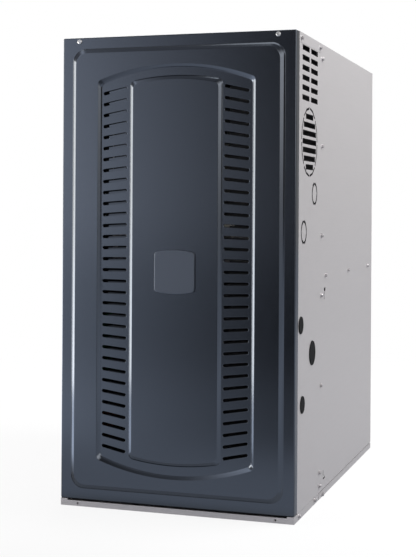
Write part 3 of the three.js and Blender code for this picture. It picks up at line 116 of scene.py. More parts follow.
class Shader:
    """A material's or a world's nodes."""

    def __init__(self, tree):
        self.tree = tree
        tree.nodes.clear()

    def node(self, kind, settings=None, inputs=None):
        made = self.tree.nodes.new("ShaderNode" + kind)
        for name, value in (settings or {}).items():
            setattr(made, name, value)
        for key, value in (inputs or {}).items():
            socket = made.inputs[key]
            if isinstance(value, Value):
                self.tree.links.new(value.socket, socket)
            elif isinstance(value, bpy.types.NodeSocket):
                self.tree.links.new(value, socket)
            else:
                socket.default_value = value
        return made

    def add(self, kind, settings=None, inputs=None, output=0):
        return Value(self, self.node(kind, settings, inputs).outputs[output])

    def place(self):
        """The point on the surface in the object's own frame, in metres."""
        return self.node("TexCoord").outputs["Object"]

    def along(self, axis, source="Object"):
        """One component of the place, or of the normal."""
        return self.add("SeparateXYZ", {}, {0: self.node("TexCoord").outputs[source]}, axis)

    def height(self):
        return self.along("Z")

    def noise(self, scale, detail=3.0, roughness=0.55, at=None):
        return self.add("TexNoise", {}, {"Vector": at or self.place(), "Scale": scale, "Detail": detail,
                                         "Roughness": roughness}, "Fac")

    def cells(self, scale):
        return self.add("TexVoronoi", {}, {"Vector": self.place(), "Scale": scale}, "Color")

    def stretched(self, x, y, z):
        """The place, scaled along each axis."""
        return self.node("Mapping", {}, {"Vector": self.place(), "Scale": (x, y, z)}).outputs[0]

    def size_of(self, value):
        return self.add("Math", {"operation": "ABSOLUTE"}, {0: value})

    def larger(self, first, second):
        return self.add("Math", {"operation": "MAXIMUM"}, {0: first, 1: second})

    def ray(self, kind):
        """1 for rays of this kind, such as Camera or Glossy."""
        return Value(self, self.node("LightPath").outputs["Is " + kind + " Ray"])

    def seen(self):
        """1 for rays that come straight or through glass from the camera."""
        return self.larger(self.ray("Camera"), self.ray("Transmission"))

    def grey(self, colour):
        return self.add("RGBToBW", {}, {0: colour})

    def mix(self, share, first, second):
        node = self.node("Mix", {"data_type": "RGBA"}, {"Factor": share})
        for key, value in (("A", first), ("B", second)):
            socket = next(s for s in node.inputs if s.name == key and s.type == "RGBA")
            if isinstance(value, Value):
                self.tree.links.new(value.socket, socket)
            else:
                socket.default_value = value
        return Value(self, next(s for s in node.outputs if s.type == "RGBA"))

    def bump(self, height, strength, distance):
        return self.add("Bump", {}, {"Height": height, "Strength": strength, "Distance": distance}, "Normal")

    def surface(self, **sockets):
        """A Principled surface. Underscores stand for the spaces in the names of its sockets."""
        inputs = {name.replace("_", " "): value for name, value in sockets.items()}
        made = self.node("BsdfPrincipled", {}, inputs)
        self.node("OutputMaterial", {}, {"Surface": made.outputs["BSDF"]})


def shade(colour, factor):
    return tuple(min(1.0, c * factor) for c in colour[:3]) + (1.0,)


def srgb(red, green, blue):
    """A colour written as on screen, 0 to 255, as the linear colour that a shader takes."""
    def linear(c):
        c /= 255
        return c / 12.92 if c <= 0.04045 else ((c + 0.055) / 1.055) ** 2.4
    return linear(red), linear(green), linear(blue), 1.0


def material(name):
    made = bpy.data.materials.new(name)
    made.use_nodes = True
    return made, Shader(made.node_tree)


def enamel(name, colour, roughness=0.13):
    """Glossy stoved paint: a fine orange peel and a faint clouding of the colour. It mirrors more than real
    paint does, so that the studio's light can stay low."""
    made, s = material(name)
    cloud = s.noise(9.0, 4.0)
    peel = s.noise(900.0, 2.0)
    s.surface(
        Base_Color=s.mix(cloud.above(0.5, 0.5), shade(colour, 0.93), shade(colour, 1.07)),
        Roughness=roughness + 0.05 * s.noise(60.0, 2.0),
        IOR=2.15,
        Specular_Tint=(0.78, 0.88, 1.02, 1.0),
        Normal=s.bump(peel, 0.08, 0.0003),
    )
    return made


def side_shade_mask(s):
    """Painted shade: 1 on a side panel's inner face, its sheared edges and a band round its two small
    knock-outs.
    """
    turn, out = s.along("X", "Normal"), s.along("X")
    edge = (1 - s.size_of(turn).above(0.5, 0.1)) * s.size_of(out).above(SIDE_HIGH.x - 1.35 * MM, 0.1 * MM)
    edge = edge * (1 - s.height().above(TOP - 3 * MM, 0.2 * MM))
    mask = edge + (0 - turn * out).above(0.1, 0.05)
    for y, z, radius in KNOCKOUTS:
        aside = s.along("Y") - (MARGIN + y * MM)
        up = s.height() - z * MM
        distance = s.add("Math", {"operation": "SQRT"}, {0: aside * aside + up * up})
        inner = distance.above((radius - KNOCKOUT_SLOT - KNOCKOUT_BAND) * MM, 0.6 * MM)
        outer = distance.above((radius + KNOCKOUT_BAND) * MM, 0.6 * MM)
        tied = (aside * aside).above((KNOCKOUT_TIE * MM) ** 2, 8 * MM * MM)
        mask = mask + inner * (1 - outer) * tied
    return mask.clamped()


def galvanised(name, colour, metallic=0.45, roughness=0.42, shadow_colour=None):
    """Zinc coated sheet with small spangles and faint rolling streaks. The last argument, if given, is the
    colour of a near-black painted shade on a side panel's inner face, its sheared edges and round its
    knock-outs."""
    made, s = material(name)
    spangle = s.grey(s.cells(260.0))
    streak = s.noise(1.0, 3.0, at=s.stretched(14.0, 14.0, 260.0))
    tone = (0.55 * spangle + 0.45 * streak).clamped()
    base = s.mix(tone, shade(colour, 0.94), shade(colour, 1.05))
    if shadow_colour:
        # Painted shade: near black, with no metal, on the inner face, the sheared edges and round the
        # knock-outs.
        painted_dark = side_shade_mask(s)
        metallic = metallic * (1 - painted_dark)
        base = s.mix(painted_dark, base, shadow_colour)
    s.surface(
        Base_Color=base,
        Metallic=metallic,
        Roughness=roughness + 0.12 * spangle,
        Normal=s.bump(spangle, 0.05, 0.0004),
    )
    return made


def pressed_steel(name, colour, metallic=0.85, roughness=0.38):
    """Plain or aluminised steel with a fine grain and heat toned patches."""
    made, s = material(name)
    grain = s.noise(420.0, 3.0)
    patch = s.noise(14.0, 4.0).above(0.52, 0.3)
    s.surface(
        Base_Color=s.mix(patch, shade(colour, 1.05), shade(colour, 0.82)),
        Metallic=metallic,
        Roughness=roughness + 0.15 * grain,
        Normal=s.bump(grain, 0.08, 0.0005),
    )
    return made


def moulded(name, colour, roughness=0.45, grain=700.0, shine=0.5):
    """Moulded plastic or rubber with a fine spark texture."""
    made, s = material(name)
    texture = s.noise(grain, 2.0)
    s.surface(
        Base_Color=s.mix(s.noise(30.0), shade(colour, 0.9), shade(colour, 1.12)),
        Roughness=roughness + 0.1 * texture,
        Specular_IOR_Level=shine,
        Normal=s.bump(texture, 0.15, 0.0003),
    )
    return made


def circuit_board(name, colour):
    """Green solder mask with copper tracks under it."""
    made, s = material(name)
    bricks = {"Vector": s.stretched(1, 90, 90), "Scale": 1.0, "Mortar Size": 0.06}
    tracks = s.add("TexBrick", {}, bricks, "Fac")
    s.surface(
        Base_Color=s.mix(tracks, colour, shade(colour, 2.2)),
        Roughness=0.3 + 0.1 * s.noise(300.0),
    )
    return made


# ---- Sizes and colours a user would change ----------------------------------------------------------
def length(name, description, default):
    return FloatProperty(name=name, description=description, default=default * MM, unit="LENGTH",
                         subtype="DISTANCE", precision=4)


def colour(name, description, default):
    return FloatVectorProperty(name=name, description=description, default=srgb(*default), size=4,
                               subtype="COLOR", min=0.0, max=1.0)


class FurnaceSizes(bpy.types.PropertyGroup):
    sheet: length("Sheet", "Thickness of the door's sheet", 1.2)
    fold: length("Fold", "Radius of the fold round the door's margin", 2.0)
    field_inset: length("Field inset", "Width of the flat margin at the door's sides", 19.9)
    field_drop: length("Field drop", "Width of the margin at the door's top", 20.7)
    field_rise: length("Field rise", "Width of the margin at the door's bottom", 19.8)
    field_corner: length("Field corner", "Corner radius of the raised field", 25.0)
    field_height: length("Field height", "How far the field stands out", 5.7)
    field_slope: length("Field slope", "Width of the slope round the field", 8.8)
    recess_half: length("Recess half width", "Half the width of the sunk panel", 149.9)
    recess_top: length("Recess top", "Highest point of the sunk panel's arch", 810.5)
    recess_bottom: length("Recess bottom", "Lowest point of the sunk panel's arch", 63.0)
    recess_bow: length("Recess bow", "How far the sunk panel's ends bow out", 27.6)
    recess_depth: length("Recess depth", "How far the panel is sunk below the field", 4.6)
    recess_slope: length("Recess slope", "Width of the slope into the recess", 6.5)
    pad_half: length("Pad half width", "Half the width of the middle pad", 88.2)
    pad_top: length("Pad top", "Highest point of the middle pad's arch", 790.0)
    pad_bottom: length("Pad bottom", "Lowest point of the middle pad's arch", 85.8)
    pad_bow: length("Pad bow", "How far the pad's ends bow out", 8.8)
    pad_height: length("Pad height", "How far the pad stands above the recess", 4.5)
    pad_slope: length("Pad slope", "Width of the slope round the pad", 7.4)
    panel_corner: length("Panel corner", "Corner radius of the recess and the pad", 10.0)
    louvre_rows: IntProperty(name="Louvre rows", description="Louvres in each column", default=33, min=1)
    louvre_length: length("Louvre length", "Length of a louvre's slot", 47.0)
    louvre_height: length("Louvre height", "Height of a louvre's slot", 5.6)
    louvre_centre: length("Louvre centre", "Distance of each column from their middle", 115.8)
    louvre_shift: length("Louvre shift", "How far the columns' middle sits left of the door's", 1.4)
    louvre_top: length("Louvre top", "Height of the highest louvre", 763.7)
    louvre_pitch: length("Louvre pitch", "Distance from one louvre to the next", 20.4)
    louvre_lean: FloatProperty(name="Louvre lean", description="Lean of the highest and lowest louvres",
                               default=radians(12), unit="ROTATION", subtype="ANGLE")
    screw_head: length("Screw head", "Width of a cabinet screw's hexagon", 7.0)
    screw_washer: length("Screw washer", "Width of the washer under a cabinet screw's head", 9.6)
    screw_height: length("Screw height", "Height of a cabinet screw's head", 4.0)


class FurnaceColours(bpy.types.PropertyGroup):
    enamel: colour("Enamel", "Paint of the front door", (17, 18, 21))
    plate: colour("Plate", "Paint of the blank badge plate", (42, 45, 52))
    zinc: colour("Galvanised steel", "Cabinet, pans and blower", (199, 196, 197))
    aluminised: colour("Aluminised steel", "Heat exchanger, burners and collector", (176, 174, 168))
    plastic: colour("Plastic", "Plugs, switches and knobs", (14, 14, 17))
    red: colour("Red plastic", "Valve lever, reset buttons and plunger", (176, 34, 30))
    bright: colour("Bright plating", "Screws, shaft and capacitor", (226, 226, 224))
    black: colour("Black steel", "Motors, inducer and gas manifold", (30, 31, 34))
    ceramic: colour("Ceramic", "Igniter and flame sensor", (206, 200, 186))
    silicone: colour("Silicone", "Pressure hose", (58, 58, 64))
    board: colour("Circuit board", "Solder mask of the control board", (22, 82, 48))
    copper: colour("Copper", "Transformer winding", (164, 92, 52))


# ---- Sheet metal ------------------------------------------------------------------------------------
def arc(centre, radius, start, end, steps):
    angles = [start + (end - start) * i / steps for i in range(steps + 1)]
    return [(centre[0] + radius * cos(a), centre[1] + radius * sin(a)) for a in angles]


def round_rect(half, bottom, top, radius, steps=12):
    """A rectangle about x = 0 with round corners, as points (x, z)."""
    corners = [(half - radius, bottom + radius), (half - radius, top - radius),
               (radius - half, top - radius), (radius - half, bottom + radius)]
    outline = []
    for i, corner in enumerate(corners):
        outline += arc(corner, radius, (i - 1) * pi / 2, i * pi / 2, steps)
    return outline


def bowed_rect(half, bottom, top, bow, radius, bow_steps=32, corner_steps=10):
    """A rectangle whose top and bottom bow out, with round corners, as points (x, z)."""
    sweep = (half * half + bow * bow) / (2 * bow)
    inner = sweep - radius
    lean = asin((half - radius) / inner)
    corner = (inner * sin(lean), top - sweep + inner * cos(lean))
    upper = arc(corner, radius, 0, pi / 2 - lean, corner_steps)
    upper += arc((0, top - sweep), sweep, pi / 2 - lean, pi / 2 + lean, bow_steps)[1:-1]
    upper += arc((-corner[0], corner[1]), radius, pi / 2 + lean, pi, corner_steps)
    return upper + [(-x, bottom + top - z) for x, z in upper]


# Pairs from a slope's foot to its brow: the share of its width, and how steep it is there.
PRESSING = ((0, 0), (0.06, 1.55), (0.27, 1.55), (0.36, 1), (0.9, 1), (1, 0))

# The rolled edge of a louvre's slot, in millimetres: how far outside the slot, and how deep.
SLOT_ROLL = ((0.8, 0), (0.55, 0), (0.3, 0.08), (0.1, 0.3), (0, 0.7))


def press_profile(points=PRESSING):
    """The shares of a slope's width, and of its height, from its foot to its brow."""
    shares, rises = [0.0], [0.0]
    for (start, first), (end, last) in zip(points, points[1:]):
        for i in range(1, 4):
            share = start + (end - start) * i / 3
            steep = first + (last - first) * (i - 0.5) / 3
            rises.append(rises[-1] + steep * (share - shares[-1]))
            shares.append(share)
    return [(share, rise / rises[-1]) for share, rise in zip(shares, rises)]


def loop_of(bm, outline, y):
    return [bm.verts.new((x, y, z)) for x, z in outline]


def bridge(bm, first, second):
    """Faces between two loops of equal length."""
    count = len(first)
    for i in range(count):
        j = (i + 1) % count
        bm.faces.new((first[i], first[j], second[j], second[i]))


def edges_of(bm, loop):
    edges = []
    for i, vert in enumerate(loop):
        pair = (vert, loop[(i + 1) % len(loop)])
        edges.append(bm.edges.get(pair) or bm.edges.new(pair))
    return edges


def fill(bm, *loops):
    """Flat faces inside the first loop and outside the others."""
    edges = [edge for loop in loops for edge in edges_of(bm, loop)]
    bmesh.ops.triangle_fill(bm, use_beauty=True, use_dissolve=False, edges=edges, normal=(0, -1, 0))


def mesh_object(name, bm, material, sharp_above=35):
    """Turns the faces into a named smooth object whose edges are sharp above this angle, in degrees."""
    bmesh.ops.recalc_face_normals(bm, faces=bm.faces)
    for face in bm.faces:
        face.smooth = True
    for edge in bm.edges:
        edge.smooth = len(edge.link_faces) == 2 and edge.calc_face_angle(0) < radians(sharp_above)
    mesh = bpy.data.meshes.new(name)
    bm.to_mesh(mesh)
    bm.free()
    mesh.materials.append(material)
    made = bpy.data.objects.new(name, mesh)
    bpy.context.collection.objects.link(made)
    return made


def slope(bm, outline, margin, start, width, low, high):
    """The loops of a slope. outline(inset) gives its outline, and start is the loop that it grows from."""
    loops = [start]
    profile = press_profile()
    if high > low:
        profile = [(1 - share, 1 - rise) for share, rise in reversed(profile)]
    for share, rise in profile:
        loops.append(loop_of(bm, outline(width * share), low + (high - low) * rise))
    loops.append(loop_of(bm, outline(width + margin), high))
    for first, second in zip(loops, loops[1:]):
        bridge(bm, first, second)
    return loops


def louvres(sizes):
    """Centre x, centre z, lean and row, from 0 to 1, of every louvre."""
    middle = (sizes.louvre_rows - 1) / 2
    for row in range(sizes.louvre_rows):
        for side in (-1, 1):
            x = side * sizes.louvre_centre - sizes.louvre_shift
            z = sizes.louvre_top - row * sizes.louvre_pitch
            lean = -side * sizes.louvre_lean * (1 - row / middle)
            yield x, z, lean, row / (sizes.louvre_rows - 1)


def turned(points, x, z, lean):
    return [(x + u * cos(lean) - v * sin(lean), z + u * sin(lean) + v * cos(lean)) for u, v in points]


def slot_outline(sizes, grow):
    end = sizes.louvre_height / 2 + grow
    straight = (sizes.louvre_length - sizes.louvre_height) / 2
    return arc((straight, 0), end, -pi / 2, pi / 2, 8) + arc((-straight, 0), end, pi / 2, 3 * pi / 2, 8)


def pressed_door(sizes, paint):
    """The front door's sheet: a folded tray with a raised field, a sunk panel, a pad and the slots."""
    support = 0.4 * MM
    bm = bmesh.new()
    field_level = MARGIN - sizes.field_height
    floor_level = field_level + sizes.recess_depth
    pad_level = floor_level - sizes.pad_height

    def field(inset):
        return round_rect(HALF_WIDTH - sizes.field_inset - inset, BOTTOM + sizes.field_rise + inset,
                          TOP - sizes.field_drop - inset, sizes.field_corner - inset / 2)

    def recess(inset):
        return bowed_rect(sizes.recess_half - inset, sizes.recess_bottom + inset, sizes.recess_top - inset,
                          sizes.recess_bow, sizes.panel_corner)

    def pad(inset):
        return bowed_rect(sizes.pad_half - inset, sizes.pad_bottom + inset, sizes.pad_top - inset,
                          sizes.pad_bow, sizes.panel_corner)

    def tray(inset):
        radius = sizes.fold + 0.2 * MM - inset / 2
        return round_rect(HALF_WIDTH - inset, BOTTOM + inset, TOP - inset, radius, 4)

    def pressed(outline, width, low, high):
        start = loop_of(bm, outline(-support), low)
        return slope(bm, outline, support, start, width, low, high)

    edge = [loop_of(bm, tray(sizes.fold + support), MARGIN)]
    for i in range(6):
        angle = i * pi / 10
        edge.append(loop_of(bm, tray(sizes.fold * (1 - sin(angle))), MARGIN + sizes.fold * (1 - cos(angle))))
    edge.append(loop_of(bm, tray(0), MARGIN + RETURN_DEPTH))
    for first, second in zip(edge, edge[1:]):
        bridge(bm, first, second)

    raised = pressed(field, sizes.field_slope, MARGIN, field_level)
    sunk = pressed(recess, sizes.recess_slope, field_level, floor_level)
    middle = pressed(pad, sizes.pad_slope, floor_level, pad_level)
    slots = []
    for x, z, lean, _ in louvres(sizes):
        rolled = [loop_of(bm, turned(slot_outline(sizes, grow * MM), x, z, lean), floor_level + depth * MM)
                  for grow, depth in SLOT_ROLL]
        for first, second in zip(rolled, rolled[1:]):
            bridge(bm, first, second)
        slots.append(rolled[0])
    holes = []
    for node in ("door_screw_left", "door_screw_right"):
        low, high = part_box(node)
        centre = ((low.x + high.x) / 2, (low.z + high.z) / 2)
        holes.append(loop_of(bm, arc(centre, 2.5 * MM, 0, 2 * pi * 15 / 16, 15), MARGIN))
    fill(bm, edge[0], raised[0], *holes)
    fill(bm, raised[-1], sunk[0])
    fill(bm, sunk[-1], middle[0], *slots)
    fill(bm, middle[-1])
    door = mesh_object("front_door_sheet", bm, paint)
    solid = door.modifiers.new("Sheet", "SOLIDIFY")
    solid.thickness = sizes.sheet
    solid.offset = -1
    solid.use_even_offset = True
    return door, floor_level


def louvre_fins(sizes, floor_level, side, paint):
    """A thin fin behind every slot of one column, nearly shut at the door's top and open at its foot."""
    bm = bmesh.new()
    foot = (floor_level + sizes.sheet - 0.4 * MM, 0.02 * MM - sizes.louvre_height / 2)
    thick = (0.7 * MM, -0.25 * MM)
    reach = (11 * MM - sizes.louvre_length / 2, sizes.louvre_length / 2 - 1.5 * MM)
    for x, z, lean, row in louvres(sizes):
        if x * side < 0:
            continue
        rise = sizes.louvre_height * (0.8 - 0.6 * row)
        depth = (0.4 + 5.5 * row * row) * MM
        front = [(foot[0] + depth * share ** 1.6, foot[1] + rise * share) for share in (0, 0.2, 0.45, 0.7, 1)]
        profile = front + [(y + thick[0], v + thick[1]) for y, v in reversed(front)]
        ends = []
        for u in reach:
            points = turned([(u, v) for _, v in profile], x, z, lean)
            ends.append([bm.verts.new((px, y, pz)) for (px, pz), (y, _) in zip(points, profile)])
        bridge(bm, *ends)
        bm.faces.new(ends[0])
        bm.faces.new(reversed(ends[1]))
    return mesh_object("louvre_fins_right" if side > 0 else "louvre_fins_left", bm, paint)


def frame_of(outward):
    """A rotation whose z axis points outward."""
    return Vector(outward).to_track_quat("Z", "Y").to_matrix().to_4x4()


def hex_screw(bm, sizes, place, outward, turn):
    """Adds the head and the washer of a hexagon head screw to a mesh."""
    washer = sizes.screw_washer / 2
    head = sizes.screw_head / 2
    across = cos(pi / 6)
    top = sizes.screw_height
    rings = [(washer, -0.3 * MM, 1), (washer, 0.35 * MM, 1), (washer * 0.93, 0.6 * MM, 1),
             (head * 1.02, 0.75 * MM, across), (head, 0.9 * MM, across), (head, top - 0.4 * MM, across),
             (head * 0.84, top, 1), (head * 0.5, top - 0.15 * MM, 1)]
    matrix = Matrix.Translation(place) @ frame_of(outward) @ Matrix.Rotation(turn, 4, "Z")
    loops = []
    for radius, height, flat in rings:
        loop = []
        for i in range(12):
            reach = radius * (1 if i % 2 == 0 else flat)
            point = Vector((reach * cos(i * pi / 6), reach * sin(i * pi / 6), height))
            loop.append(bm.verts.new(matrix @ point))
        loops.append(loop)
    for first, second in zip(loops, loops[1:]):
        bridge(bm, first, second)
    bm.faces.new(loops[-1])
    bm.faces.new(reversed(loops[0]))


def spot(x, y, z):
    """A point given in millimetres, with y measured back from the door's margin."""
    return Vector((x * MM, MARGIN + y * MM, z * MM))


def coat(material, *nodes):
    for name in nodes:
        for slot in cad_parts[name].material_slots:
            slot.material = material


def keep(piece, body, slot, *nodes):
    """Lets a piece ride on its body and stand for these nodes. slot is not used."""
    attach(piece, body)
    if nodes:
        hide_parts(*nodes)


# ---- Operators --------------------------------------------------------------------------------------
# Cabinet screws in millimetres: y and z, with y measured back from the door's margin, or x and z on the back.
SIDE_SCREWS = ((202, 835), (202, 669.7), (202, 499.9), (202, 386.5), (202, 215.8), (193.5, 52), (193.5, 26.6),
               (238, 423), (458, 423), (675, 423), (34.5, 853.4), (182.5, 854))
RAIL_SCREWS = ((32.8, 7.7), (155, 8.6), (220.4, 5))
BACK_SCREWS = ((212, 60), (212, 240), (212, 430), (212, 620), (212, 800))


# The stage, in metres. The camera was fitted to the cabinet's corners in the photograph.
SENSOR_WIDTH = 36.0
FOCAL_PIXELS = 1221.5
LENS_SHIFT = -0.1263
CAMERA_TURN, CAMERA_ROLL = 17.94, 0.33     # degrees
EYE = (0.7317, MARGIN - 2.071, 0.5509)
MIRRORED_EYE = (0.732, 1.715)              # x and y of the camera's image in the door
WHITE = (1, 1, 1, 1)
FLOOR_TO_CAMERA = (0.85, 0.85, 0.85, 1)
FLOOR_TO_LIGHT = (0.34, 0.34, 0.34, 1)
FLOOR_AHEAD = (0.1, 0.1, 0.1, 1)


def wall_glow(aside):
    """How the studio's left wall brightens from its near edge, 0, to its full level, 1."""
    return aside * (0.45 + 0.55 * aside)


class Step:
    """What the furnace's operators share."""

    bl_options = {"REGISTER", "UNDO"}

    @property
    def sizes(self):
        return bpy.context.scene.furnace_sizes

    @property
    def colours(self):
        return bpy.context.scene.furnace_colours


class FURNACE_OT_cabinet(Step, bpy.types.Operator):
    """Give the galvanised cabinet, its pans and its plugs their finishes, with painted shade on the inner
    panels and the side panels' inner faces
    """

    bl_idname = "furnace.cabinet"
    bl_label = "Cabinet"

    def execute(self, context):
        zinc = self.colours.zinc
        coat(galvanised("Galvanised cabinet", zinc), "front_base_pan", "rear_base_pan", "back_panel",
             "top_filler")
        # Painted shade: the inner panels take the zinc at a fifth of its brightness, so that the works behind
        # the slots read dark.
        coat(galvanised("Inner steel with painted shade", shade(zinc, 0.2)), "vestibule_panel", "blower_deck",
             "lower_bulkhead", "blower_door", "junction_box")
        # The side panels get a near-black painted shade on their inner faces, sheared edges and knock-out
        # bands.
        coat(galvanised("Galvanised side panel", zinc, shadow_colour=srgb(26, 27, 30)), "side_panel_right",
             "side_panel_left")
        plugs = moulded("Plug plastic", shade(self.colours.plastic, 0.7), 0.7, shine=0.2)
        coat(plugs, "hole_plug_1", "hole_plug_2", "hole_plug_3")
        return {"FINISHED"}


class FURNACE_OT_door(Step, bpy.types.Operator):
    """Press the louvred front door from one sheet, with a fin behind every slot"""

    bl_idname = "furnace.door"
    bl_label = "Front door"

    def execute(self, context):
        paint = enamel("Door enamel", self.colours.enamel)
        door, floor_level = pressed_door(self.sizes, paint)
        keep(door, "front_door_body", "paint", "front_door")
        # Painted shade: the right-hand fins take a darker, matt copy of the enamel, so that their slots read
        # black.
        shaded = moulded("Shaded louvre paint", shade(self.colours.enamel, 0.5), 0.7, shine=0.15)
        keep(louvre_fins(self.sizes, floor_level, -1, paint), "front_door_body", "paint")
        keep(louvre_fins(self.sizes, floor_level, 1, shaded), "front_door_body", "paint")
        return {"FINISHED"}


class FURNACE_OT_badge(Step, bpy.types.Operator):
    """Shape the blank badge plate with a rounded rim"""

    bl_idname = "furnace.badge"
    bl_label = "Badge plate"

    def execute(self, context):
        low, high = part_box("badge_plate")
        trim = 1.1 * MM                    # the plate leaves twice this of its box bare on the left
        half = (high.x - low.x) / 2 - trim
        rim = 1.6 * MM
        bow, corner = 4.5 * MM, 6.5 * MM
        bm = bmesh.new()

        def outline(inset):
            plain = bowed_rect(half - inset, low.z + inset, high.z - inset, bow, corner)
            return [(x + trim, z) for x, z in plain]

        loops = [loop_of(bm, outline(0), high.y), loop_of(bm, outline(0), low.y + rim + 0.3 * MM)]
        for i in range(7):
            angle = i * pi / 12
            loops.append(loop_of(bm, outline(rim * (1 - cos(angle))), low.y + rim * (1 - sin(angle))))
        loops.append(loop_of(bm, outline(rim + 0.4 * MM), low.y))
        for first, second in zip(loops, loops[1:]):
            bridge(bm, first, second)
        fill(bm, loops[0])
        fill(bm, loops[-1])
        plate = mesh_object("badge_blank", bm, enamel("Badge enamel", self.colours.plate, 0.4))
        keep(plate, "front_door_body", "badge", "badge_plate")
        return {"FINISHED"}


class FURNACE_OT_works(Step, bpy.types.Operator):
    """Give the blower, burners, exchanger, gas train and controls their finishes"""

    bl_idname = "furnace.works"
    bl_label = "Inside works"

    def execute(self, context):
        colours = self.colours
        coat(galvanised("Galvanised blower", colours.zinc, 0.6), "blower_housing", "blower_wheel",
             "motor_mount", "blower_rail_left", "blower_rail_right", "burner_box", "flue_pipe")
        fours = [f"{name}_{i}" for name in ("exchanger_tube", "burner") for i in range(1, 5)]
        coat(pressed_steel("Aluminised steel", colours.aluminised, 0.8, 0.36), *fours, "tube_support",
             "collector_box", "inducer_wheel")
        coat(pressed_steel("Cast aluminium", shade(colours.aluminised, 1.1), 0.7, 0.45), "gas_valve")
        coat(pressed_steel("Bright plating", colours.bright, 0.9, 0.22), "blower_shaft", "capacitor",
             "door_screw_left", "door_screw_right")
        coat(pressed_steel("Black enamelled steel", colours.black, 0.3, 0.4), "blower_motor", "gas_manifold",
             "inducer_housing", "inducer_motor")
        coat(moulded("Switch plastic", colours.plastic), "access_knob_left", "access_knob_right",
             "rollout_switch_1", "rollout_switch_2", "pressure_switch", "limit_switch", "door_switch")
        coat(moulded("Red plastic", colours.red, 0.38), "gas_valve_lever", "reset_button_1", "reset_button_2",
             "switch_plunger")
        coat(moulded("Ceramic", colours.ceramic, 0.6, 300.0), "igniter", "flame_sensor")
        coat(moulded("Silicone", colours.silicone, 0.5), "pressure_hose")
        coat(circuit_board("Circuit board", colours.board), "control_board")
        coat(pressed_steel("Copper and laminations", colours.copper, 0.8, 0.4), "transformer")
        return {"FINISHED"}


class FURNACE_OT_screws(Step, bpy.types.Operator):
    """Put the hexagon head screws in the cabinet's sides, rails and back"""

    bl_idname = "furnace.screws"
    bl_label = "Cabinet screws"

    def execute(self, context):
        bm = bmesh.new()
        count = 0
        wall = SIDE_HIGH.x / MM
        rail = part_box("front_base_pan")[1].x / MM
        for side in (-1, 1):
            for reach, places in ((wall, SIDE_SCREWS), (rail, RAIL_SCREWS)):
                for y, z in places:
                    count += 1
                    hex_screw(bm, self.sizes, spot(side * reach, y, z), (side, 0, 0), count * 0.7)
        for x, z in BACK_SCREWS:
            for side in (-1, 1):
                count += 1
                place = Vector((side * x * MM, BACK, z * MM))
                hex_screw(bm, self.sizes, place, (0, 1, 0), count * 0.7)
        steel = pressed_steel("Screw plating", shade(self.colours.zinc, 0.9), 0.8, 0.34)
        screws = mesh_object("cabinet_screws", bm, steel, sharp_above=20)
        keep(screws, "cabinet", "galvanised")
        return {"FINISHED"}


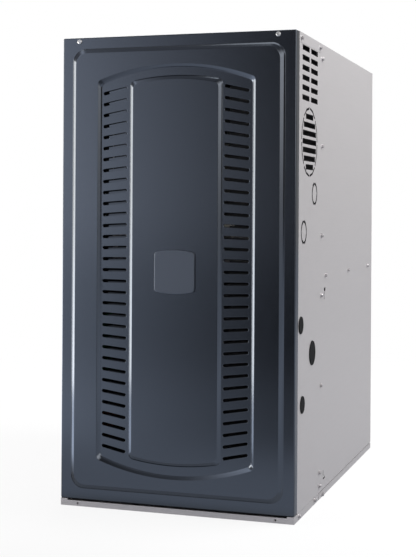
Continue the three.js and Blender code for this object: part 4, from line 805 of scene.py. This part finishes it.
class FURNACE_OT_stage(Step, bpy.types.Operator):
    """Set the pale floor, the soft studio light and the camera"""

    bl_idname = "furnace.stage"
    bl_label = "Stage"

    def execute(self, context):
        scene = context.scene
        scene.view_settings.view_transform = "Standard"
        self.floor()
        self.world(scene)
        self.lamp("Side softbox", (-1.5, -0.7, 0.55), (0, -0.36, 0.55), (0.7, 1.2), 12.5, (1.0, 0.95, 0.88))
        self.lamp("Overhead softbox", (0.5, 0.1, 3.0), (0, 0, 0.4), (2.4, 2.4), 24)
        self.lamp("Back softbox", (-0.9, 2.4, 1.9), (0, 0.3, 0.4), (1.6, 1.6), 40)
        self.lamp("Right softbox", (1.75, 0.45, 2.3), (0.2, 0, 0.6), (1.6, 1.6), 68)
        self.camera(scene)
        return {"FINISHED"}

    def floor(self):
        """A pale floor that keeps the object's shadow. To mirrored rays its front part glows like the
        studio's wall. That glow is laid out from the camera's mirror image in the door."""
        made, s = material("Floor")
        seen, mirrored = s.seen(), s.ray("Glossy")
        x, y = s.along("X"), s.along("Y")
        ahead, leftward = 0 - y, 0 - x
        # Shares from 0 to 1, by metres from the middle: well ahead, right before the door, by the side lamp.
        front = ahead.above(0.8, 0.6)
        near = ahead.above(0.42, 0.1) * (1 - ahead.above(0.9, 0.7))
        lit_left = leftward.above(0.55, 0.3) * (1 - ahead.above(0.6, 0.3))
        away = s.add("VectorMath", {"operation": "LENGTH"}, {0: s.place()}, "Value")

        pale = s.mix(front, s.mix(seen, FLOOR_TO_LIGHT, FLOOR_TO_CAMERA), FLOOR_AHEAD)
        lit = s.node("BsdfDiffuse", {}, {"Color": pale, "Roughness": 0.5})

        # The slope to the left of the mirrored line of sight: 0 at a slope of 0.24 and 1 at 0.525.
        aside = (((MIRRORED_EYE[0] - x) / (MIRRORED_EYE[1] - y) - 0.24) / 0.285).clamped()
        right = (x / (0.4 - y)).above(0.3, 0.5)
        wall = 0.05 + 0.3 * (2.6 + y).clamped() + 1.9 * wall_glow(aside) + 0.9 * right
        level = 0.53 * (near + (1 - near) * ((1 - front) + front * wall) + 3.4 * lit_left)
        tint = s.mix(mirrored, WHITE, (0.92, 0.99, 1.15, 1))
        glow = s.node("Emission", {}, {"Color": tint, "Strength": 1 + mirrored * (level - 1)})

        to_camera = s.larger(0.86 + 0.14 * away.above(1.3, 1.4), front)
        to_mirror = s.larger(0.5 * x.above(-0.3, 0.2), (front + near + lit_left).clamped())
        share = (seen * to_camera + mirrored * to_mirror).clamped()
        mixed = s.node("MixShader", {}, {0: share, 1: lit.outputs[0], 2: glow.outputs[0]})
        s.node("OutputMaterial", {}, {"Surface": mixed.outputs[0]})
        bm = bmesh.new()
        bmesh.ops.create_grid(bm, x_segments=8, y_segments=8, size=14)
        mesh_object("floor", bm, made)

    def world(self, scene):
        """A dim studio with a lighter wall on the left and a softbox on the right. The backdrop is white to
        the camera, and only faintly so to metal."""
        studio = bpy.data.worlds.new("Studio")
        studio.use_nodes = True
        scene.world = studio
        s = Shader(studio.node_tree)
        across, up = s.along("X"), s.height()      # components of the ray's direction
        behind = s.along("Y").above(0.05, 0.5)
        leftward = 0 - across
        aside = ((leftward - 0.2 * up - 0.207) / 0.268).clamped()
        left = wall_glow(aside) * (1 - 0.85 * leftward.above(0.66, 0.24))
        right = across.above(0.0, 0.1) * (1 - across.above(0.84, 0.1))
        right = right * (0.2 + 0.8 * up.above(0.08, 0.2)) * (1 - up.above(0.5, 0.4))
        dim = s.mix(up.above(0.7, 0.4), (0.04, 0.04, 0.043, 1), (0.23, 0.24, 0.27, 1))
        front = s.mix(left, s.mix(right, dim, (1.9, 1.85, 1.85, 1)), (1.5, 1.57, 1.78, 1))
        colour = s.mix(behind, front, (0.3, 0.3, 0.3, 1))
        soft = s.node("Background", {}, {"Color": colour, "Strength": 1.0})
        white = s.node("Background", {}, {"Color": WHITE, "Strength": 1.0})
        shown = s.larger(s.seen(), 0.08 * behind * s.ray("Glossy"))
        by_sight = s.node("MixShader", {}, {0: shown, 1: soft.outputs[0], 2: white.outputs[0]})
        s.node("OutputWorld", {}, {"Surface": by_sight.outputs[0]})

    def lamp(self, name, place, target, size, power, tint=(1.0, 1.0, 1.0)):
        data = bpy.data.lights.new(name, "AREA")
        data.color = tint
        data.shape = "RECTANGLE"
        data.size, data.size_y = size
        data.energy = power
        lamp = bpy.data.objects.new(name, data)
        lamp.location = place
        lamp.rotation_euler = (Vector(target) - Vector(place)).to_track_quat("-Z", "Y").to_euler()
        bpy.context.collection.objects.link(lamp)

    def camera(self, scene):
        data = bpy.data.cameras.new("Camera")
        data.sensor_width = SENSOR_WIDTH
        data.lens = SENSOR_WIDTH * FOCAL_PIXELS / IMAGE_SIZE[1]
        data.shift_y = LENS_SHIFT
        camera = bpy.data.objects.new("Camera", data)
        turn = Matrix.Rotation(radians(CAMERA_TURN), 4, "Z") @ Matrix.Rotation(pi / 2, 4, "X")
        roll = Matrix.Rotation(radians(CAMERA_ROLL), 4, "Z")
        camera.matrix_world = Matrix.Translation(EYE) @ turn @ roll
        bpy.context.collection.objects.link(camera)
        scene.camera = camera


class FURNACE_PT_panel(bpy.types.Panel):
    """The furnace's steps, sizes and colours"""

    bl_label = "Furnace"
    bl_idname = "FURNACE_PT_panel"
    bl_space_type = "VIEW_3D"
    bl_region_type = "UI"
    bl_category = "Furnace"

    def draw(self, context):
        column = self.layout.column()
        for step in STEPS:
            column.operator(step.bl_idname)
        scene = context.scene
        for title, group in (("Sizes", scene.furnace_sizes), ("Colours", scene.furnace_colours)):
            box = self.layout.box()
            box.label(text=title)
            for name in group.bl_rna.properties.keys():
                if name not in {"rna_type", "name"}:
                    box.prop(group, name)


STEPS = (FURNACE_OT_cabinet, FURNACE_OT_door, FURNACE_OT_badge, FURNACE_OT_works, FURNACE_OT_screws,
         FURNACE_OT_stage)
CLASSES = (FurnaceSizes, FurnaceColours, *STEPS, FURNACE_PT_panel)


def register():
    for made in CLASSES:
        bpy.utils.register_class(made)
    bpy.types.Scene.furnace_sizes = PointerProperty(type=FurnaceSizes)
    bpy.types.Scene.furnace_colours = PointerProperty(type=FurnaceColours)


def unregister():
    del bpy.types.Scene.furnace_colours
    del bpy.types.Scene.furnace_sizes
    for made in reversed(CLASSES):
        bpy.utils.unregister_class(made)


def main():
    register()
    for step in STEPS:
        group, name = step.bl_idname.split(".")
        getattr(getattr(bpy.ops, group), name)()


if __name__ == "__main__":
    main()
